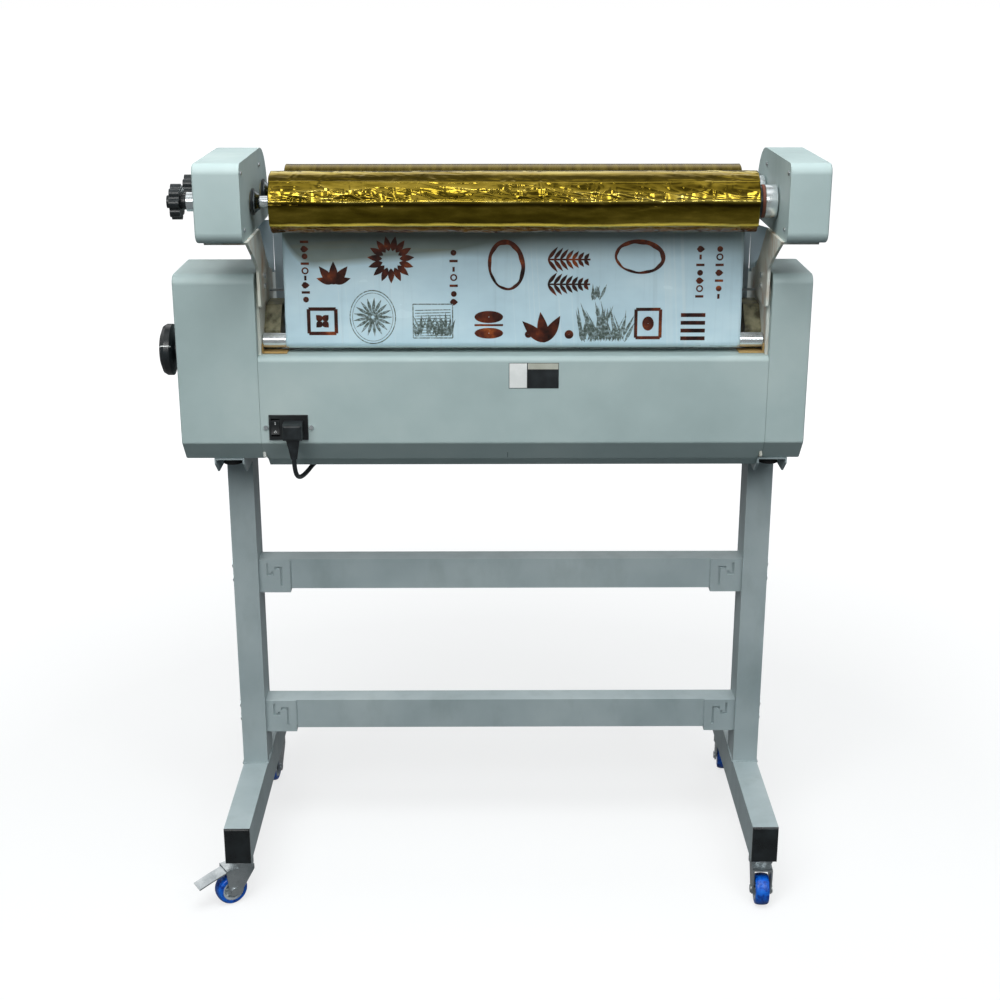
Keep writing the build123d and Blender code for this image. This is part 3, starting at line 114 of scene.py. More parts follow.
def add(tree, kind, feeds=None, **settings):
    """Add a node with its settings, then connect its inputs."""
    made = tree.nodes.new(kind)
    for name, value in settings.items():
        setattr(made, name, value)
    connect(tree, made, feeds or {})
    return made


def new_material(name, space="Object"):
    """A material with a bare Principled shader on its output, and coordinates to lay it out in."""
    material = bpy.data.materials.new(name)
    material.use_nodes = True
    tree = material.node_tree
    tree.nodes.clear()
    shader = add(tree, "ShaderNodeBsdfPrincipled")
    add(tree, "ShaderNodeOutputMaterial", {"Surface": shader.outputs[0]})
    return material, tree, shader, add(tree, "ShaderNodeTexCoord").outputs[space]


def place_at(tree, coords, stretch):
    """Coordinates stretched along each axis."""
    return add(tree, "ShaderNodeMapping", {"Vector": coords, "Scale": stretch}).outputs[0]


def patches(tree, coords, stretch, scale, detail=3.0, rough=0.55):
    """Noise on stretched coordinates, scale in cycles per metre."""
    return add(tree, "ShaderNodeTexNoise", {"Vector": place_at(tree, coords, stretch), "Scale": scale,
                                            "Detail": detail, "Roughness": rough}).outputs[0]


def steps(tree, factor, stops):
    """A colour ramp from (position, hex colour) stops."""
    ramp = add(tree, "ShaderNodeValToRGB", {"Fac": factor})
    while len(ramp.color_ramp.elements) < len(stops):
        ramp.color_ramp.elements.new(1.0)
    for element, (position, code) in zip(ramp.color_ramp.elements, stops):
        element.position, element.color = position, srgb(code)
    return ramp.outputs[0]


def span(tree, value, low, high, to_low=0.0, to_high=1.0):
    """Map a value's range onto another, clamped."""
    return add(tree, "ShaderNodeMapRange", {"Value": value, "From Min": low, "From Max": high,
                                            "To Min": to_low, "To Max": to_high}).outputs[0]


def blend_colour(tree, factor, a, b):
    """From colour a to colour b; a hex value stands for a plain colour."""
    a, b = (srgb(c) if isinstance(c, str) else c for c in (a, b))
    return add(tree, "ShaderNodeMix", {0: factor, 6: a, 7: b}, data_type="RGBA").outputs[2]


def sums(tree, operation, a, b):
    return add(tree, "ShaderNodeMath", {0: a, 1: b}, operation=operation).outputs[0]


def times(tree, a, b):
    return sums(tree, "MULTIPLY", a, b)


def plus(tree, a, b):
    return sums(tree, "ADD", a, b)


def less(tree, a, b):
    return sums(tree, "SUBTRACT", a, b)


def attribute(tree, name):
    return add(tree, "ShaderNodeAttribute", attribute_name=name).outputs["Fac"]


def relief(tree, shader, height, depth, strength=1.0):
    """Bump of a real depth in metres."""
    bump = add(tree, "ShaderNodeBump", {"Height": height, "Distance": depth, "Strength": strength})
    tree.links.new(bump.outputs[0], shader.inputs["Normal"])


# ---- materials ----
EVEN = (1, 1, 1)


def powder_coat(name, dark, code, light, orange_peel=2.6 * MM, stain=0.0, stain_code="#8A6A43",
                roughness=0.46):
    """Polyester powder coat, sprayed and baked on sheet steel: even colour, a soft sheen and an
    orange-peel skin. The real peel is about 1 mm and is drawn coarser so that it shows. Handling
    leaves faint darker rubs, and stain adds oily marks."""
    material, tree, shader, coords = new_material(name)
    cloud = patches(tree, coords, EVEN, 5.0, 4.0)
    colour = steps(tree, cloud, [(0.32, dark), (0.5, code), (0.7, light)])
    rub = patches(tree, coords, (1, 1, 0.25), 46.0, 5.0, 0.7)
    colour = blend_colour(tree, span(tree, rub, 0.62, 0.78, 0.0, 0.22), colour, dark)
    if stain:
        drip = patches(tree, coords, (1, 1, 0.45), 26.0, 4.0, 0.62)
        colour = blend_colour(tree, span(tree, drip, 0.5, 0.72, 0.0, stain), colour, stain_code)
    connect(tree, shader, {"Base Color": colour, "Specular IOR Level": 0.45,
                           "Roughness": span(tree, rub, 0.3, 0.8, roughness - 0.05, roughness + 0.1)})
    relief(tree, shader, patches(tree, coords, EVEN, 1 / orange_peel, 2.0), 0.12 * MM, 0.55)
    return material


def bright_metal(name, shade, code, roughness, along=EVEN, grain=900.0, clean=True, metallic=1.0):
    """Ground or plated steel: mirror-like with fine tool marks along one way, drawn coarser than
    the real ones, and a slightly duller, cloudy film where it has been handled."""
    material, tree, shader, coords = new_material(name)
    marks = patches(tree, coords, along, grain, 2.0)
    cloud = patches(tree, coords, EVEN, 22.0, 4.0)
    spread = 0.07 if clean else 0.18
    connect(tree, shader, {"Base Color": steps(tree, cloud, [(0.3, shade), (0.62, code)]), "Metallic": metallic,
                           "Roughness": span(tree, marks, 0.3, 0.7, roughness, roughness + spread)})
    relief(tree, shader, marks, 0.03 * MM, 0.4)
    return material


def moulded(name, code, light, roughness, grain=1.6 * MM, depth=0.06 * MM):
    """Injection-moulded plastic: a spark-eroded skin, drawn coarser than the real grain, and paler
    rubbed places."""
    material, tree, shader, coords = new_material(name)
    rub = patches(tree, coords, EVEN, 34.0, 4.0, 0.6)
    connect(tree, shader, {"Base Color": steps(tree, rub, [(0.42, code), (0.78, light)]),
                           "Roughness": span(tree, rub, 0.3, 0.75, roughness, roughness + 0.14)})
    relief(tree, shader, patches(tree, coords, EVEN, 1 / grain, 2.0), depth, 0.6)
    return material


def one_noise(name, pattern, stops, gloss, bump=None, **inputs):
    """A finish whose colour, gloss and skin all follow one noise. The pattern is its stretch,
    scale, detail and roughness; gloss maps the noise's range to the shader's roughness; bump is a
    depth and a strength; inputs are the shader's others."""
    material, tree, shader, coords = new_material(name)
    grain = patches(tree, coords, *pattern)
    connect(tree, shader, {"Base Color": steps(tree, grain, stops), "Roughness": span(tree, grain, *gloss),
                           **{socket.replace("_", " "): value for socket, value in inputs.items()}})
    if bump:
        relief(tree, shader, grain, *bump)
    return material


def cast_blocks():
    """Milled aluminium blocks under olive enamel with oil on them: milling lines and dark seep."""
    material, tree, shader, coords = new_material("olive_enamelled_aluminium")
    seep = patches(tree, coords, (1, 1, 0.5), 60.0, 4.0)
    connect(tree, shader, {"Base Color": steps(tree, seep, [(0.35, "#4A4834"), (0.5, "#7F7C60"), (0.7, "#9B987A")]),
                           "Roughness": span(tree, seep, 0.3, 0.7, 0.3, 0.55)})
    lines = add(tree, "ShaderNodeTexWave", {"Vector": coords, "Scale": 190.0, "Distortion": 1.5},
                bands_direction="Z").outputs["Fac"]
    relief(tree, shader, lines, 0.05 * MM, 0.4)
    return material


def galvanised():
    """Hot-dip galvanised sheet: zinc spangle about 10 mm across, dull and cool."""
    material, tree, shader, coords = new_material("galvanised_sheet")
    cells = add(tree, "ShaderNodeTexVoronoi", {"Vector": coords, "Scale": 110.0})
    grey = add(tree, "ShaderNodeRGBToBW", {"Color": cells.outputs["Color"]}).outputs[0]
    connect(tree, shader, {"Base Color": steps(tree, grey, [(0.2, "#969D9F"), (0.5, "#9DA4A6"), (0.8, "#A6ACAE")]),
                           "Metallic": 0.55, "Roughness": span(tree, grey, 0.2, 0.8, 0.45, 0.51)})
    relief(tree, shader, grey, 0.03 * MM, 0.3)
    return material


def gold_metallised():
    """Hot stamping foil: gold-lacquered metallised polyester wound loose, mirror-bright, so much of its look is what it
    reflects. Wrinkles of a real 6 to 40 mm tilt it and the lacquer is browner where the film is doubled under. Its
    colour also holds painted light: dark and bright bands that are partly painted reflection, painted highlight on the
    fold ridges and the roll's top, a painted dark line of shade above a lip of loose film, and a painted highlight
    along that lip."""
    material, tree, shader, coords = new_material("gold_metallised_polyester", "UV")
    crease, slack, lip, under, tuck_shade = (attribute(tree, name) for name in ("crease", "slack", "lip", "under", "tuck_shade"))
    bands = patches(tree, coords, (1.0, 11.0, 1), 3.0, 3.0, 0.5)
    fine = patches(tree, coords, (22, 60, 1), 1.0, 4.0, 0.6)
    tone = plus(tree, times(tree, bands, 0.5), times(tree, fine, 0.34))
    tone = plus(tree, tone, times(tree, crease, 0.24))
    # Painted reflection and highlight: the ramp from dark to bright over the bands stands partly for a dark room
    # mirrored in the foil, and the crease mark lifts it as painted highlight on fold ridges and the roll's top.
    colour = steps(tree, tone, [(0.3, "#4E400F"), (0.42, "#76651D"), (0.54, "#A18B34"), (0.72, "#DCCB70")])
    # Painted shade and highlight: a dark line of shade above the lip, and a bright line of highlight along the lip,
    # where the metal also turns partly matt. The brown under the lip is the lacquer's own.
    for factor, code in ((under, "#6E3418"), (tuck_shade, "#171005"), (lip, "#FFE45E")):
        colour = blend_colour(tree, factor, colour, code)
    connect(tree, shader, {"Base Color": colour, "Metallic": span(tree, lip, 0.0, 1.0, 1.0, 0.25),
                           "Roughness": span(tree, fine, 0.3, 0.7, 0.1, 0.2)})
    folds = add(tree, "ShaderNodeTexNoise", {"Vector": place_at(tree, coords, (66, 34, 1)), "Scale": 1.0,
                                             "Detail": 3.0, "Roughness": 0.55, "Distortion": 0.6},
                noise_type="RIDGED_MULTIFRACTAL", normalize=True).outputs[0]
    height = plus(tree, times(tree, folds, slack), times(tree, bands, 0.35))
    relief(tree, shader, height, 4.4 * MM, 1.0)
    return material


def spent_film():
    """Spent polyester carrier: clear film over pale residue, so it reads milky blue with a water gloss. It has stretch
    lines along the web, a few creases drawn as painted highlight lines, a painted grey band of shade near the roll with
    painted olive reflection of the roll in it, and a mirror-like lower edge where it is stretched on the roller, paler
    there as painted reflection."""
    material, tree, shader, coords = new_material("spent_polyester_film", "UV")
    place = add(tree, "ShaderNodeSeparateXYZ", {"Vector": coords}).outputs
    across, up = place["X"], place["Y"]
    stretch = patches(tree, coords, (90, 2.5, 1), 1.0, 4.0, 0.6)
    haze = patches(tree, coords, (5, 9, 1), 1.0, 4.0, 0.6)
    pale = steps(tree, haze, [(0.3, "#B2CEDA"), (0.52, "#C0DCE7"), (0.72, "#D0E8F0")])
    pale = blend_colour(tree, span(tree, stretch, 0.56, 0.75, 0.0, 0.3), pale, "#98B2BC")
    lean = plus(tree, across, times(tree, up, 0.06))
    # Painted highlight: thin paler lines along the web stand for creases catching the light.
    crease = add(tree, "ShaderNodeTexNoise", {"W": times(tree, lean, 19.0), "Scale": 1.0, "Detail": 2.0},
                 noise_dimensions="1D").outputs[0]
    off = sums(tree, "ABSOLUTE", less(tree, crease, 0.58), 0.0)
    pale = blend_colour(tree, span(tree, off, 0.0, 0.012, 0.45, 0.0), pale, "#D3E4E9")
    # The painted grey band of shade rises to the right, drops round the left corner and fades over edge_width.
    side = sums(tree, "MAXIMUM", less(tree, times(tree, across, -1.0), 0.285), 0.0)
    corner = times(tree, sums(tree, "POWER", times(tree, side, 18.0), 2.2), 0.06)
    edge = span(tree, across, -0.33, 0.2, 0.108, 0.154)
    edge_width = span(tree, across, -0.08, 0.12, 0.006, 0.032)
    band = span(tree, less(tree, up, corner), less(tree, edge, edge_width), plus(tree, edge, edge_width), 0.0, 0.93)
    grey = steps(tree, haze, [(0.3, "#6C7872"), (0.55, "#7E8A83"), (0.8, "#97A39D")])
    # Painted reflection: olive streaks in the grey band stand for the gold roll mirrored in the film.
    reflected_gold_streak = patches(tree, coords, (6, 70, 1), 1.0, 4.0, 0.6)
    grey = blend_colour(tree, span(tree, reflected_gold_streak, 0.52, 0.75, 0.0, 0.4), grey, "#8C8358")
    # Painted reflection: where the film wraps the roller it turns paler, for the lit cover it would mirror; its rise in
    # metallic is real gloss.
    pale = blend_colour(tree, span(tree, up, -0.006, -0.012), pale, "#E4EBEA")
    connect(tree, shader, {"Base Color": blend_colour(tree, band, pale, grey), "Coat Weight": 0.35,
                           "Coat Roughness": 0.1, "Metallic": span(tree, up, -0.006, -0.012, 0.0, 0.8),
                           "Roughness": span(tree, haze, 0.3, 0.7, 0.14, 0.3)})
    relief(tree, shader, plus(tree, stretch, haze), 0.5 * MM, 0.35)
    return material


def kraft_core():
    """Spiral-wound kraft board: brown, matt, with its laps showing along it."""
    material, tree, shader, coords = new_material("kraft_board_core")
    fibre = patches(tree, coords, (60, 1, 1), 20.0, 5.0)
    laps = add(tree, "ShaderNodeTexWave", {"Vector": coords, "Scale": 8.0, "Distortion": 0.4},
               bands_direction="X").outputs["Fac"]
    base = steps(tree, fibre, [(0.3, "#7A5B3A"), (0.7, "#A1805A")])
    connect(tree, shader, {"Base Color": blend_colour(tree, span(tree, laps, 0.94, 1.0, 0.0, 0.5), base, "#5B4128"),
                           "Roughness": 0.85})
    relief(tree, shader, fibre, 0.1 * MM, 0.5)
    return material


def circuit():
    """Solder-masked glass-epoxy board with darker tracks."""
    material, tree, shader, coords = new_material("glass_epoxy_board")
    tracks = add(tree, "ShaderNodeTexBrick", {"Vector": coords, "Scale": 90.0, "Color1": srgb("#1E5B3A"),
                                              "Color2": srgb("#27704A"), "Mortar": srgb("#16412A")})
    connect(tree, shader, {"Base Color": tracks.outputs["Color"],
                           "Roughness": span(tree, tracks.outputs["Fac"], 0.0, 1.0, 0.32, 0.45)})
    return material


MATERIALS = {}


def make_materials():
    coat = bpy.context.scene.stamper_colours
    MATERIALS.update({
        "body_paint": powder_coat("grey_powder_coat", coat.body_shade, coat.body, coat.body_light),
        "stand_paint": powder_coat("stand_powder_coat", "#93A3A6", coat.stand, "#B0BEC0", 3.0 * MM, 0.16,
                                   "#66726F", 0.38),
        # These colours are paler than the arms' own, close to white, as painted light against the shade the arms stand
        # in.
        "frame_paint": powder_coat("pale_powder_coat", "#C6C4AE", "#D6DCD5", "#E2E7E2", stain=0.75,
                                   stain_code="#A57C4C"),
        # These colours are paler than the sheet's own blue-grey, as painted light against the shade behind the roll.
        "guard_paint": powder_coat("blue_grey_powder_coat", "#A3B5C0", "#B3C4CE", "#C2D1D9"),
        "weld": powder_coat("painted_weld", "#83939A", "#93A2A5", "#A3B1B4", 3.0 * MM),
        "brass_bracket": powder_coat("tan_lacquered_bracket", "#7C6034", "#A58650", "#C2A772", stain=0.3),
        "block_paint": cast_blocks(),
        "galvanised_sheet": galvanised(),
        "zinc_plate": bright_metal("bright_zinc_plate", "#8D969A", "#C4CACC", 0.24, (1, 1, 6), 220.0, False),
        "polished_chrome": bright_metal("polished_chrome", "#BCC6CA", "#E6ECEE", 0.14, (0.1, 1, 1), metallic=0.8),
        "bearing_steel": bright_metal("bearing_steel", "#4E565A", "#8E969A", 0.22, grain=400.0),
        "heater_aluminium": bright_metal("extruded_aluminium", "#93989A", "#B9BDBE", 0.36, (0.05, 1, 1), 300.0),
        "black_plastic": moulded("black_phenolic", "#0E1315", "#252C2F", 0.24),
        "black_nylon": moulded("black_nylon", "#101314", "#24292B", 0.4),
        "black_rubber": moulded("black_rubber", "#141617", "#2B2E2F", 0.7, 2.2 * MM, 0.12 * MM),
        "motor_enamel": moulded("motor_enamel", "#2A2F33", "#3B4247", 0.36),
        "key_caps": moulded("grey_key_silicone", "#3A4449", "#566066", 0.5),
        "hub_nylon": moulded("pale_grey_nylon", "#BAC4C8", "#D3DADC", 0.42),
        "white_vinyl": moulded("white_vinyl", "#D9DEDD", "#EEF1F0", 0.4),
        "silver_vinyl": moulded("silver_vinyl", "#A9ACA0", "#BFC2B8", 0.36),
        "black_vinyl": moulded("black_vinyl", "#14181A", "#2A3033", 0.36),
        "sign_print": moulded("white_sign_print", "#DFE4E4", "#F2F4F4", 0.45),
        # Painted shade: a dark strip for the shade in the cover's joint.
        "seam_shadow": moulded("painted_seam_shade", "#5A696C", "#6B7A7D", 0.6),
        "hook_tape": moulded("woven_hook_tape", "#16191B", "#33383B", 0.8, 1.2 * MM, 0.3 * MM),
        "gold_foil": gold_metallised(),
        "polyester_film": spent_film(),
        "kraft": kraft_core(),
        "circuit_laminate": circuit(),
        # Ground rubber on the pressure rollers: dense, matt, dull red, with fine grind rings.
        "silicone_rubber": one_noise(
            "silicone_rubber", ((60, 1, 1), 14.0), [(0.3, "#6B3A2C"), (0.6, "#7D4938"), (0.8, "#8C5644")],
            (0.3, 0.7, 0.55, 0.7), (0.05 * MM, 0.4)),
        # Cast polyurethane tread: clear saturated blue, glossy, with dirt on the running face.
        "blue_polyurethane": one_noise(
            "blue_polyurethane", (EVEN, 150.0, 4.0), [(0.34, "#0B3F9E"), (0.55, "#0A66DA"), (0.8, "#2F86EE")],
            (0.3, 0.75, 0.2, 0.42), (0.08 * MM, 0.4), Subsurface_Weight=0.12,
            Subsurface_Radius=(0.4 * MM, 0.8 * MM, 3 * MM)),
        # The foil wound tight on the supply roll: smooth, with faint lengthwise winding bands.
        "tight_gold": one_noise(
            "tight_wound_gold_foil", ((22, 1, 1), 6.0), [(0.3, "#5E4E14"), (0.55, "#786822"), (0.75, "#8C7C36")],
            (0.3, 0.7, 0.2, 0.32), (0.15 * MM, 0.25), Metallic=0.95),
        # Extruded PVC jacket: soft black and slightly waxy.
        "lead_pvc": one_noise(
            "lead_pvc", (EVEN, 90.0, 4.0), [(0.35, "#101416"), (0.7, "#262C2F")],
            (0.3, 0.7, 0.34, 0.5), (0.05 * MM, 0.4)),
        # Smoked acrylic window: near black, glassy, with light hairline scratches.
        "display_lens": one_noise(
            "smoked_acrylic", ((30, 4, 4), 30.0), [(0.4, "#0A0D10"), (0.8, "#1B2226")],
            (0.4, 0.8, 0.06, 0.16), Coat_Weight=0.4),
        # Display segments behind the window: lit plastic with a soft glow of its own.
        "red_segments": one_noise(
            "red_display_segments", (EVEN, 300.0, 2.0), [(0.3, "#C4261C"), (0.7, "#E2402E")],
            (0.3, 0.7, 0.4, 0.4), Emission_Color=srgb("#E2402E"), Emission_Strength=0.35),
        # Foil left on the carrier where it wasn't transferred: thin metal, patchy and crazed; its brightest orange stop
        # is a painted glint.
        "copper_print": one_noise(
            "copper_foil_print", (EVEN, 34.0, 4.0, 0.6),
            [(0.34, "#1C1210"), (0.46, "#3C1C13"), (0.58, "#5E2A16"), (0.68, "#93481D"), (0.78, "#E09A40")],
            (0.3, 0.7, 0.28, 0.48), Metallic=0.35),
        "grey_print": one_noise(
            "grey_foil_print", (EVEN, 260.0, 4.0, 0.6),
            [(0.32, "#39453F"), (0.46, "#56645F"), (0.56, "#788A8B"), (0.68, "#A3BDC6")],
            (0.3, 0.7, 0.35, 0.55), Metallic=0.1),
    })


# ---- mesh helpers ----
def linked(name, data):
    """A new object at the origin, in the scene."""
    made = bpy.data.objects.new(name, data)
    bpy.context.scene.collection.objects.link(made)
    return made


def mesh_object(name, verts, faces, material, smooth=True, tidy=True):
    """A mesh object at the origin, normals outwards."""
    mesh = bpy.data.meshes.new(name)
    mesh.from_pydata([tuple(v) for v in verts], [], faces)
    if tidy:
        with_bmesh(mesh, lambda work: bmesh.ops.remove_doubles(work, verts=work.verts, dist=1e-7), outward)
    mesh.polygons.foreach_set("use_smooth", [smooth] * len(mesh.polygons))
    mesh.materials.append(MATERIALS[material])
    return linked(name, mesh)


def with_bmesh(mesh, *edits):
    """Run edits on a mesh and keep the result."""
    work = bmesh.new()
    work.from_mesh(mesh)
    for edit in edits:
        edit(work)
    work.to_mesh(mesh)
    work.free()


def outward(work):
    bmesh.ops.recalc_face_normals(work, faces=work.faces)


def place_on(piece, body, replaces=()):
    """Say which body a finished piece rides on and the nodes it stands for."""
    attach(piece, body)
    if replaces:
        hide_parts(*replaces)
    return piece


def full_turn(count):
    """Angles evenly round a circle."""
    return [2 * math.pi * k / count for k in range(count)]


def ring_faces(starts, count):
    """Quads between rings of count points, given where each ring starts."""
    return [(a + k, a + (k + 1) % count, b + (k + 1) % count, b + k)
            for a, b in zip(starts, starts[1:]) for k in range(count)]


def sheet_faces(rows, wide):
    """Quads over rows of wide points."""
    return [(r * wide + i, r * wide + i + 1, (r + 1) * wide + i + 1, (r + 1) * wide + i)
            for r in range(rows - 1) for i in range(wide - 1)]


def strip_faces(pairs):
    """Quads along a strip whose points come in pairs, left and right."""
    return [(2 * k, 2 * k + 1, 2 * k + 3, 2 * k + 2) for k in range(pairs - 1)]


def prism(floor, roof):
    """Points and faces of the body between two like outlines."""
    n = len(floor)
    faces = [(0, *range(n - 1, 0, -1)), tuple(range(n, 2 * n))]
    return [*floor, *roof], faces + [(k, (k + 1) % n, n + (k + 1) % n, n + k) for k in range(n)]


def slab(low, high):
    """A box's points and faces."""
    (x0, y0, z0), (x1, y1, z1) = low, high
    return prism(*([(x0, y0, z), (x1, y0, z), (x1, y1, z), (x0, y1, z)] for z in (z0, z1)))


def bar_between(corners):
    """A box from eight corners, listed by its ends, then its sides, then low and high."""
    return corners, [(0, 1, 3, 2), (4, 6, 7, 5), (0, 4, 5, 1), (2, 3, 7, 6), (0, 2, 6, 4), (1, 5, 7, 3)]


def gathered(*parts):
    """Several (points, faces) lists as one."""
    points, faces = [], []
    for more, polygons in parts:
        start = len(points)
        points += [tuple(p) for p in more]
        faces += [[start + i for i in face] for face in polygons]
    return points, faces


def profile(start, rows, side=1):
    """(along, radius) pairs from ones in millimetres, measured along from start."""
    return [(start + side * x * MM, r * MM) for x, r in rows]


def lathe(outline, segments, spot, axis=X_AXIS):
    """Spin (along, radius) pairs about an axis through spot. Returns points and faces."""
    side = axis.orthogonal().normalized()
    up = axis.cross(side)
    points = [spot + axis * along + (side * math.cos(turn) + up * math.sin(turn)) * radius
              for along, radius in outline for turn in full_turn(segments)]
    starts = [row * segments for row in range(len(outline))]
    return points, ring_faces([*starts, 0], segments)


def turned_piece(name, outline, spot, material, axis=X_AXIS, segments=64):
    return sharpen(mesh_object(name, *lathe(outline, segments, Vector(spot), axis), material))


def sharpen(piece, angle=32):
    """Keep edges crisp where faces meet at more than an angle."""
    def split(work):
        for edge in work.edges:
            if len(edge.link_faces) == 2 and edge.calc_face_angle(0) > math.radians(angle):
                edge.smooth = False

    with_bmesh(piece.data, split)
    return piece


def bevelled(piece, width, segments=3, angle=35):
    """Round a piece's edges and bake the result."""
    modifier = piece.modifiers.new("edges", "BEVEL")
    modifier.width, modifier.segments = width, segments
    modifier.limit_method, modifier.angle_limit = "ANGLE", math.radians(angle)
    return baked(piece)


def gauged(piece, thickness):
    """Give a sheet its thickness, half to each side."""
    modifier = piece.modifiers.new("gauge", "SOLIDIFY")
    modifier.thickness, modifier.offset = thickness, 0.0
    return baked(piece)


def baked(piece):
    """Apply a piece's modifiers, keeping its materials."""
    graph = bpy.context.evaluated_depsgraph_get()
    mesh = bpy.data.meshes.new_from_object(piece.evaluated_get(graph))
    piece.modifiers.clear()
    piece.data = mesh
    return piece


# ---- settings ----
def length(name, description, millimetres):
    return bpy.props.FloatProperty(name=name, description=description, default=millimetres * MM, unit="LENGTH")


def paint(name, description, code):
    return bpy.props.StringProperty(name=name, description=description, default=code)


class StamperSizes(bpy.types.PropertyGroup):
    """Sizes of what is dressed on the frame."""

    lead_diameter: length("Lead diameter", "Outside diameter of the mains lead's jacket", 7)
    crease_depth: length("Crease depth", "How far the wound foil's creases stand off the roll", 3)
    film_ripple: length("Film ripple", "Height of the slack waves in the spent film", 0.45)
    label_width: length("Plate width", "Width of the blank plate on the rear cover", 72)
    label_height: length("Plate height", "Height of the blank plate on the rear cover", 37)
    weld_pitch: length("Weld pitch", "Distance between the ripples of a weld bead", 2.4)
    screw_diameter: length("Screw head", "Diameter of the pan-head screws", 7)


class StamperColours(bpy.types.PropertyGroup):
    """Paint colours, as sRGB hex values."""

    body: paint("Body", "Powder coat of the housings", "#A4B7B7")
    body_shade: paint("Body shade", "Its rubbed and darker places", "#9AADAD")
    body_light: paint("Body light", "Its paler places", "#B0C1C0")
    stand: paint("Stand", "Powder coat of the stand", "#A2B1B4")


# ---- operators ----
class StamperStage(bpy.types.Operator):
    """Camera, floor, lamps and the white surround"""

    bl_idname = "stamper.stage"
    bl_label = "Stage"

    def execute(self, context):
        scene = context.scene
        scene.view_settings.view_transform = "Standard"
        lens_data = bpy.data.cameras.new("view")
        lens_data.lens, lens_data.sensor_width = 57.4, 36.0
        pitch, yaw = math.radians(18.4), math.radians(0.36)
        scene.camera = linked("view", lens_data)
        scene.camera.location = (0.014, -2.4434, 1.400)
        scene.camera.rotation_euler = (math.pi / 2 - pitch, 0, -yaw)
        self.surround(scene)
        self.floor()
        self.lamps()
        return {"FINISHED"}

    @staticmethod
    def surround(scene):
        """White where the camera looks, a dim even room for matt faces, bright panels for metal."""
        world = bpy.data.worlds.new("surround")
        world.use_nodes = True
        tree = world.node_tree
        tree.nodes.clear()
        path = add(tree, "ShaderNodeLightPath").outputs
        seen = sums(tree, "MAXIMUM", path["Is Camera Ray"], path["Is Transmission Ray"])
        way = add(tree, "ShaderNodeTexCoord").outputs["Generated"]
        place = add(tree, "ShaderNodeSeparateXYZ", {"Vector": way}).outputs
        white = add(tree, "ShaderNodeBackground", {"Color": (1, 1, 1, 1), "Strength": 1.0})
        soft = add(tree, "ShaderNodeBackground", {"Color": (0.93, 0.97, 1, 1), "Strength": 0.28})
        # Metal sees a row of bright ceiling panels in front and one behind, in a dimmer room.
        front = steps(tree, place["Z"], [(0.02, "#5A5A5A"), (0.2, "#707070"), (0.3, "#FFFFFF"), (0.44, "#FFFFFF"),
                                         (0.52, "#7C7C7C"), (0.8, "#868686"), (0.92, "#F0F0F0")])
        rear = steps(tree, place["Z"], [(0.1, "#5A5A5A"), (0.34, "#6A6A6A"), (0.42, "#FFFFFF"), (0.76, "#FFFFFF"),
                                        (0.9, "#8A8A8A")])
        room = blend_colour(tree, span(tree, place["Y"], -0.1, 0.2), front, rear)
        glossy = add(tree, "ShaderNodeBackground", {"Color": room, "Strength": 1.3})
        first = add(tree, "ShaderNodeMixShader", {0: path["Is Glossy Ray"], 1: soft.outputs[0],
                                                  2: glossy.outputs[0]})
        mix = add(tree, "ShaderNodeMixShader", {0: seen, 1: first.outputs[0], 2: white.outputs[0]})
        add(tree, "ShaderNodeOutputWorld", {"Surface": mix.outputs[0]})
        scene.world = world

    @staticmethod
    def floor():
        """A pale floor that fades to white away from the machine and bounces a little grey light."""
        material, tree, shader, coords = new_material("studio_floor")
        tree.nodes.remove(shader)
        path = add(tree, "ShaderNodeLightPath").outputs
        seen = sums(tree, "MAXIMUM", path["Is Camera Ray"], path["Is Transmission Ray"])
        far = add(tree, "ShaderNodeVectorMath", {0: coords}, operation="LENGTH").outputs["Value"]
        glow = times(tree, seen, span(tree, far, 0.9, 2.6, 0.72, 1.0))
        glow = plus(tree, glow, times(tree, path["Is Glossy Ray"], 0.16))
        shade = blend_colour(tree, seen, "#474C4E", "#8A8D8E")
        paint = add(tree, "ShaderNodeBsdfDiffuse", {"Color": shade})
        light = add(tree, "ShaderNodeEmission", {"Strength": glow})
        both = add(tree, "ShaderNodeAddShader", {0: paint.outputs[0], 1: light.outputs[0]})
        out = next(n for n in tree.nodes if n.type == "OUTPUT_MATERIAL")
        tree.links.new(both.outputs[0], out.inputs["Surface"])
        MATERIALS["floor"] = material
        reach = 60.0
        corners = [(x * reach, y * reach, 0) for x, y in ((-1, -1), (1, -1), (1, 1), (-1, 1))]
        mesh_object("studio_floor", corners, [(0, 1, 2, 3)], "floor", smooth=False, tidy=False)

    @staticmethod
    def lamps():
        """Square soft lamps that face the machine's middle. Metal mirrors only some of them."""
        target = Vector((0, 0, 0.8))
        warm, cool, plain = (1.0, 0.995, 0.98), (0.97, 0.99, 1.0), (1.0, 1.0, 1.0)
        for name, spot, size, power, tint, mirrored in (
                ("key", (-0.5, -1.5, 3.0), 1.8, 34.0, warm, False),
                ("front_left", (-1.0, -1.95, 1.95), 0.8, 14.0, warm, True),
                ("front_right", (1.1, -1.95, 1.95), 0.8, 12.5, cool, True),
                ("top", (0.2, -0.7, 3.3), 2.0, 44.0, plain, False),
                ("glint", (-0.1, -1.5, 2.5), 0.3, 2.4, plain, True),
                ("back", (-0.4, 2.6, 2.9), 1.8, 16.0, cool, False)):
            data = bpy.data.lights.new(name, "AREA")
            data.shape, data.size, data.energy, data.color = "SQUARE", size, power, tint
            lamp = linked(name, data)
            lamp.location, lamp.visible_glossy = spot, mirrored
            lamp.rotation_euler = (target - Vector(spot)).to_track_quat("-Z", "Y").to_euler()


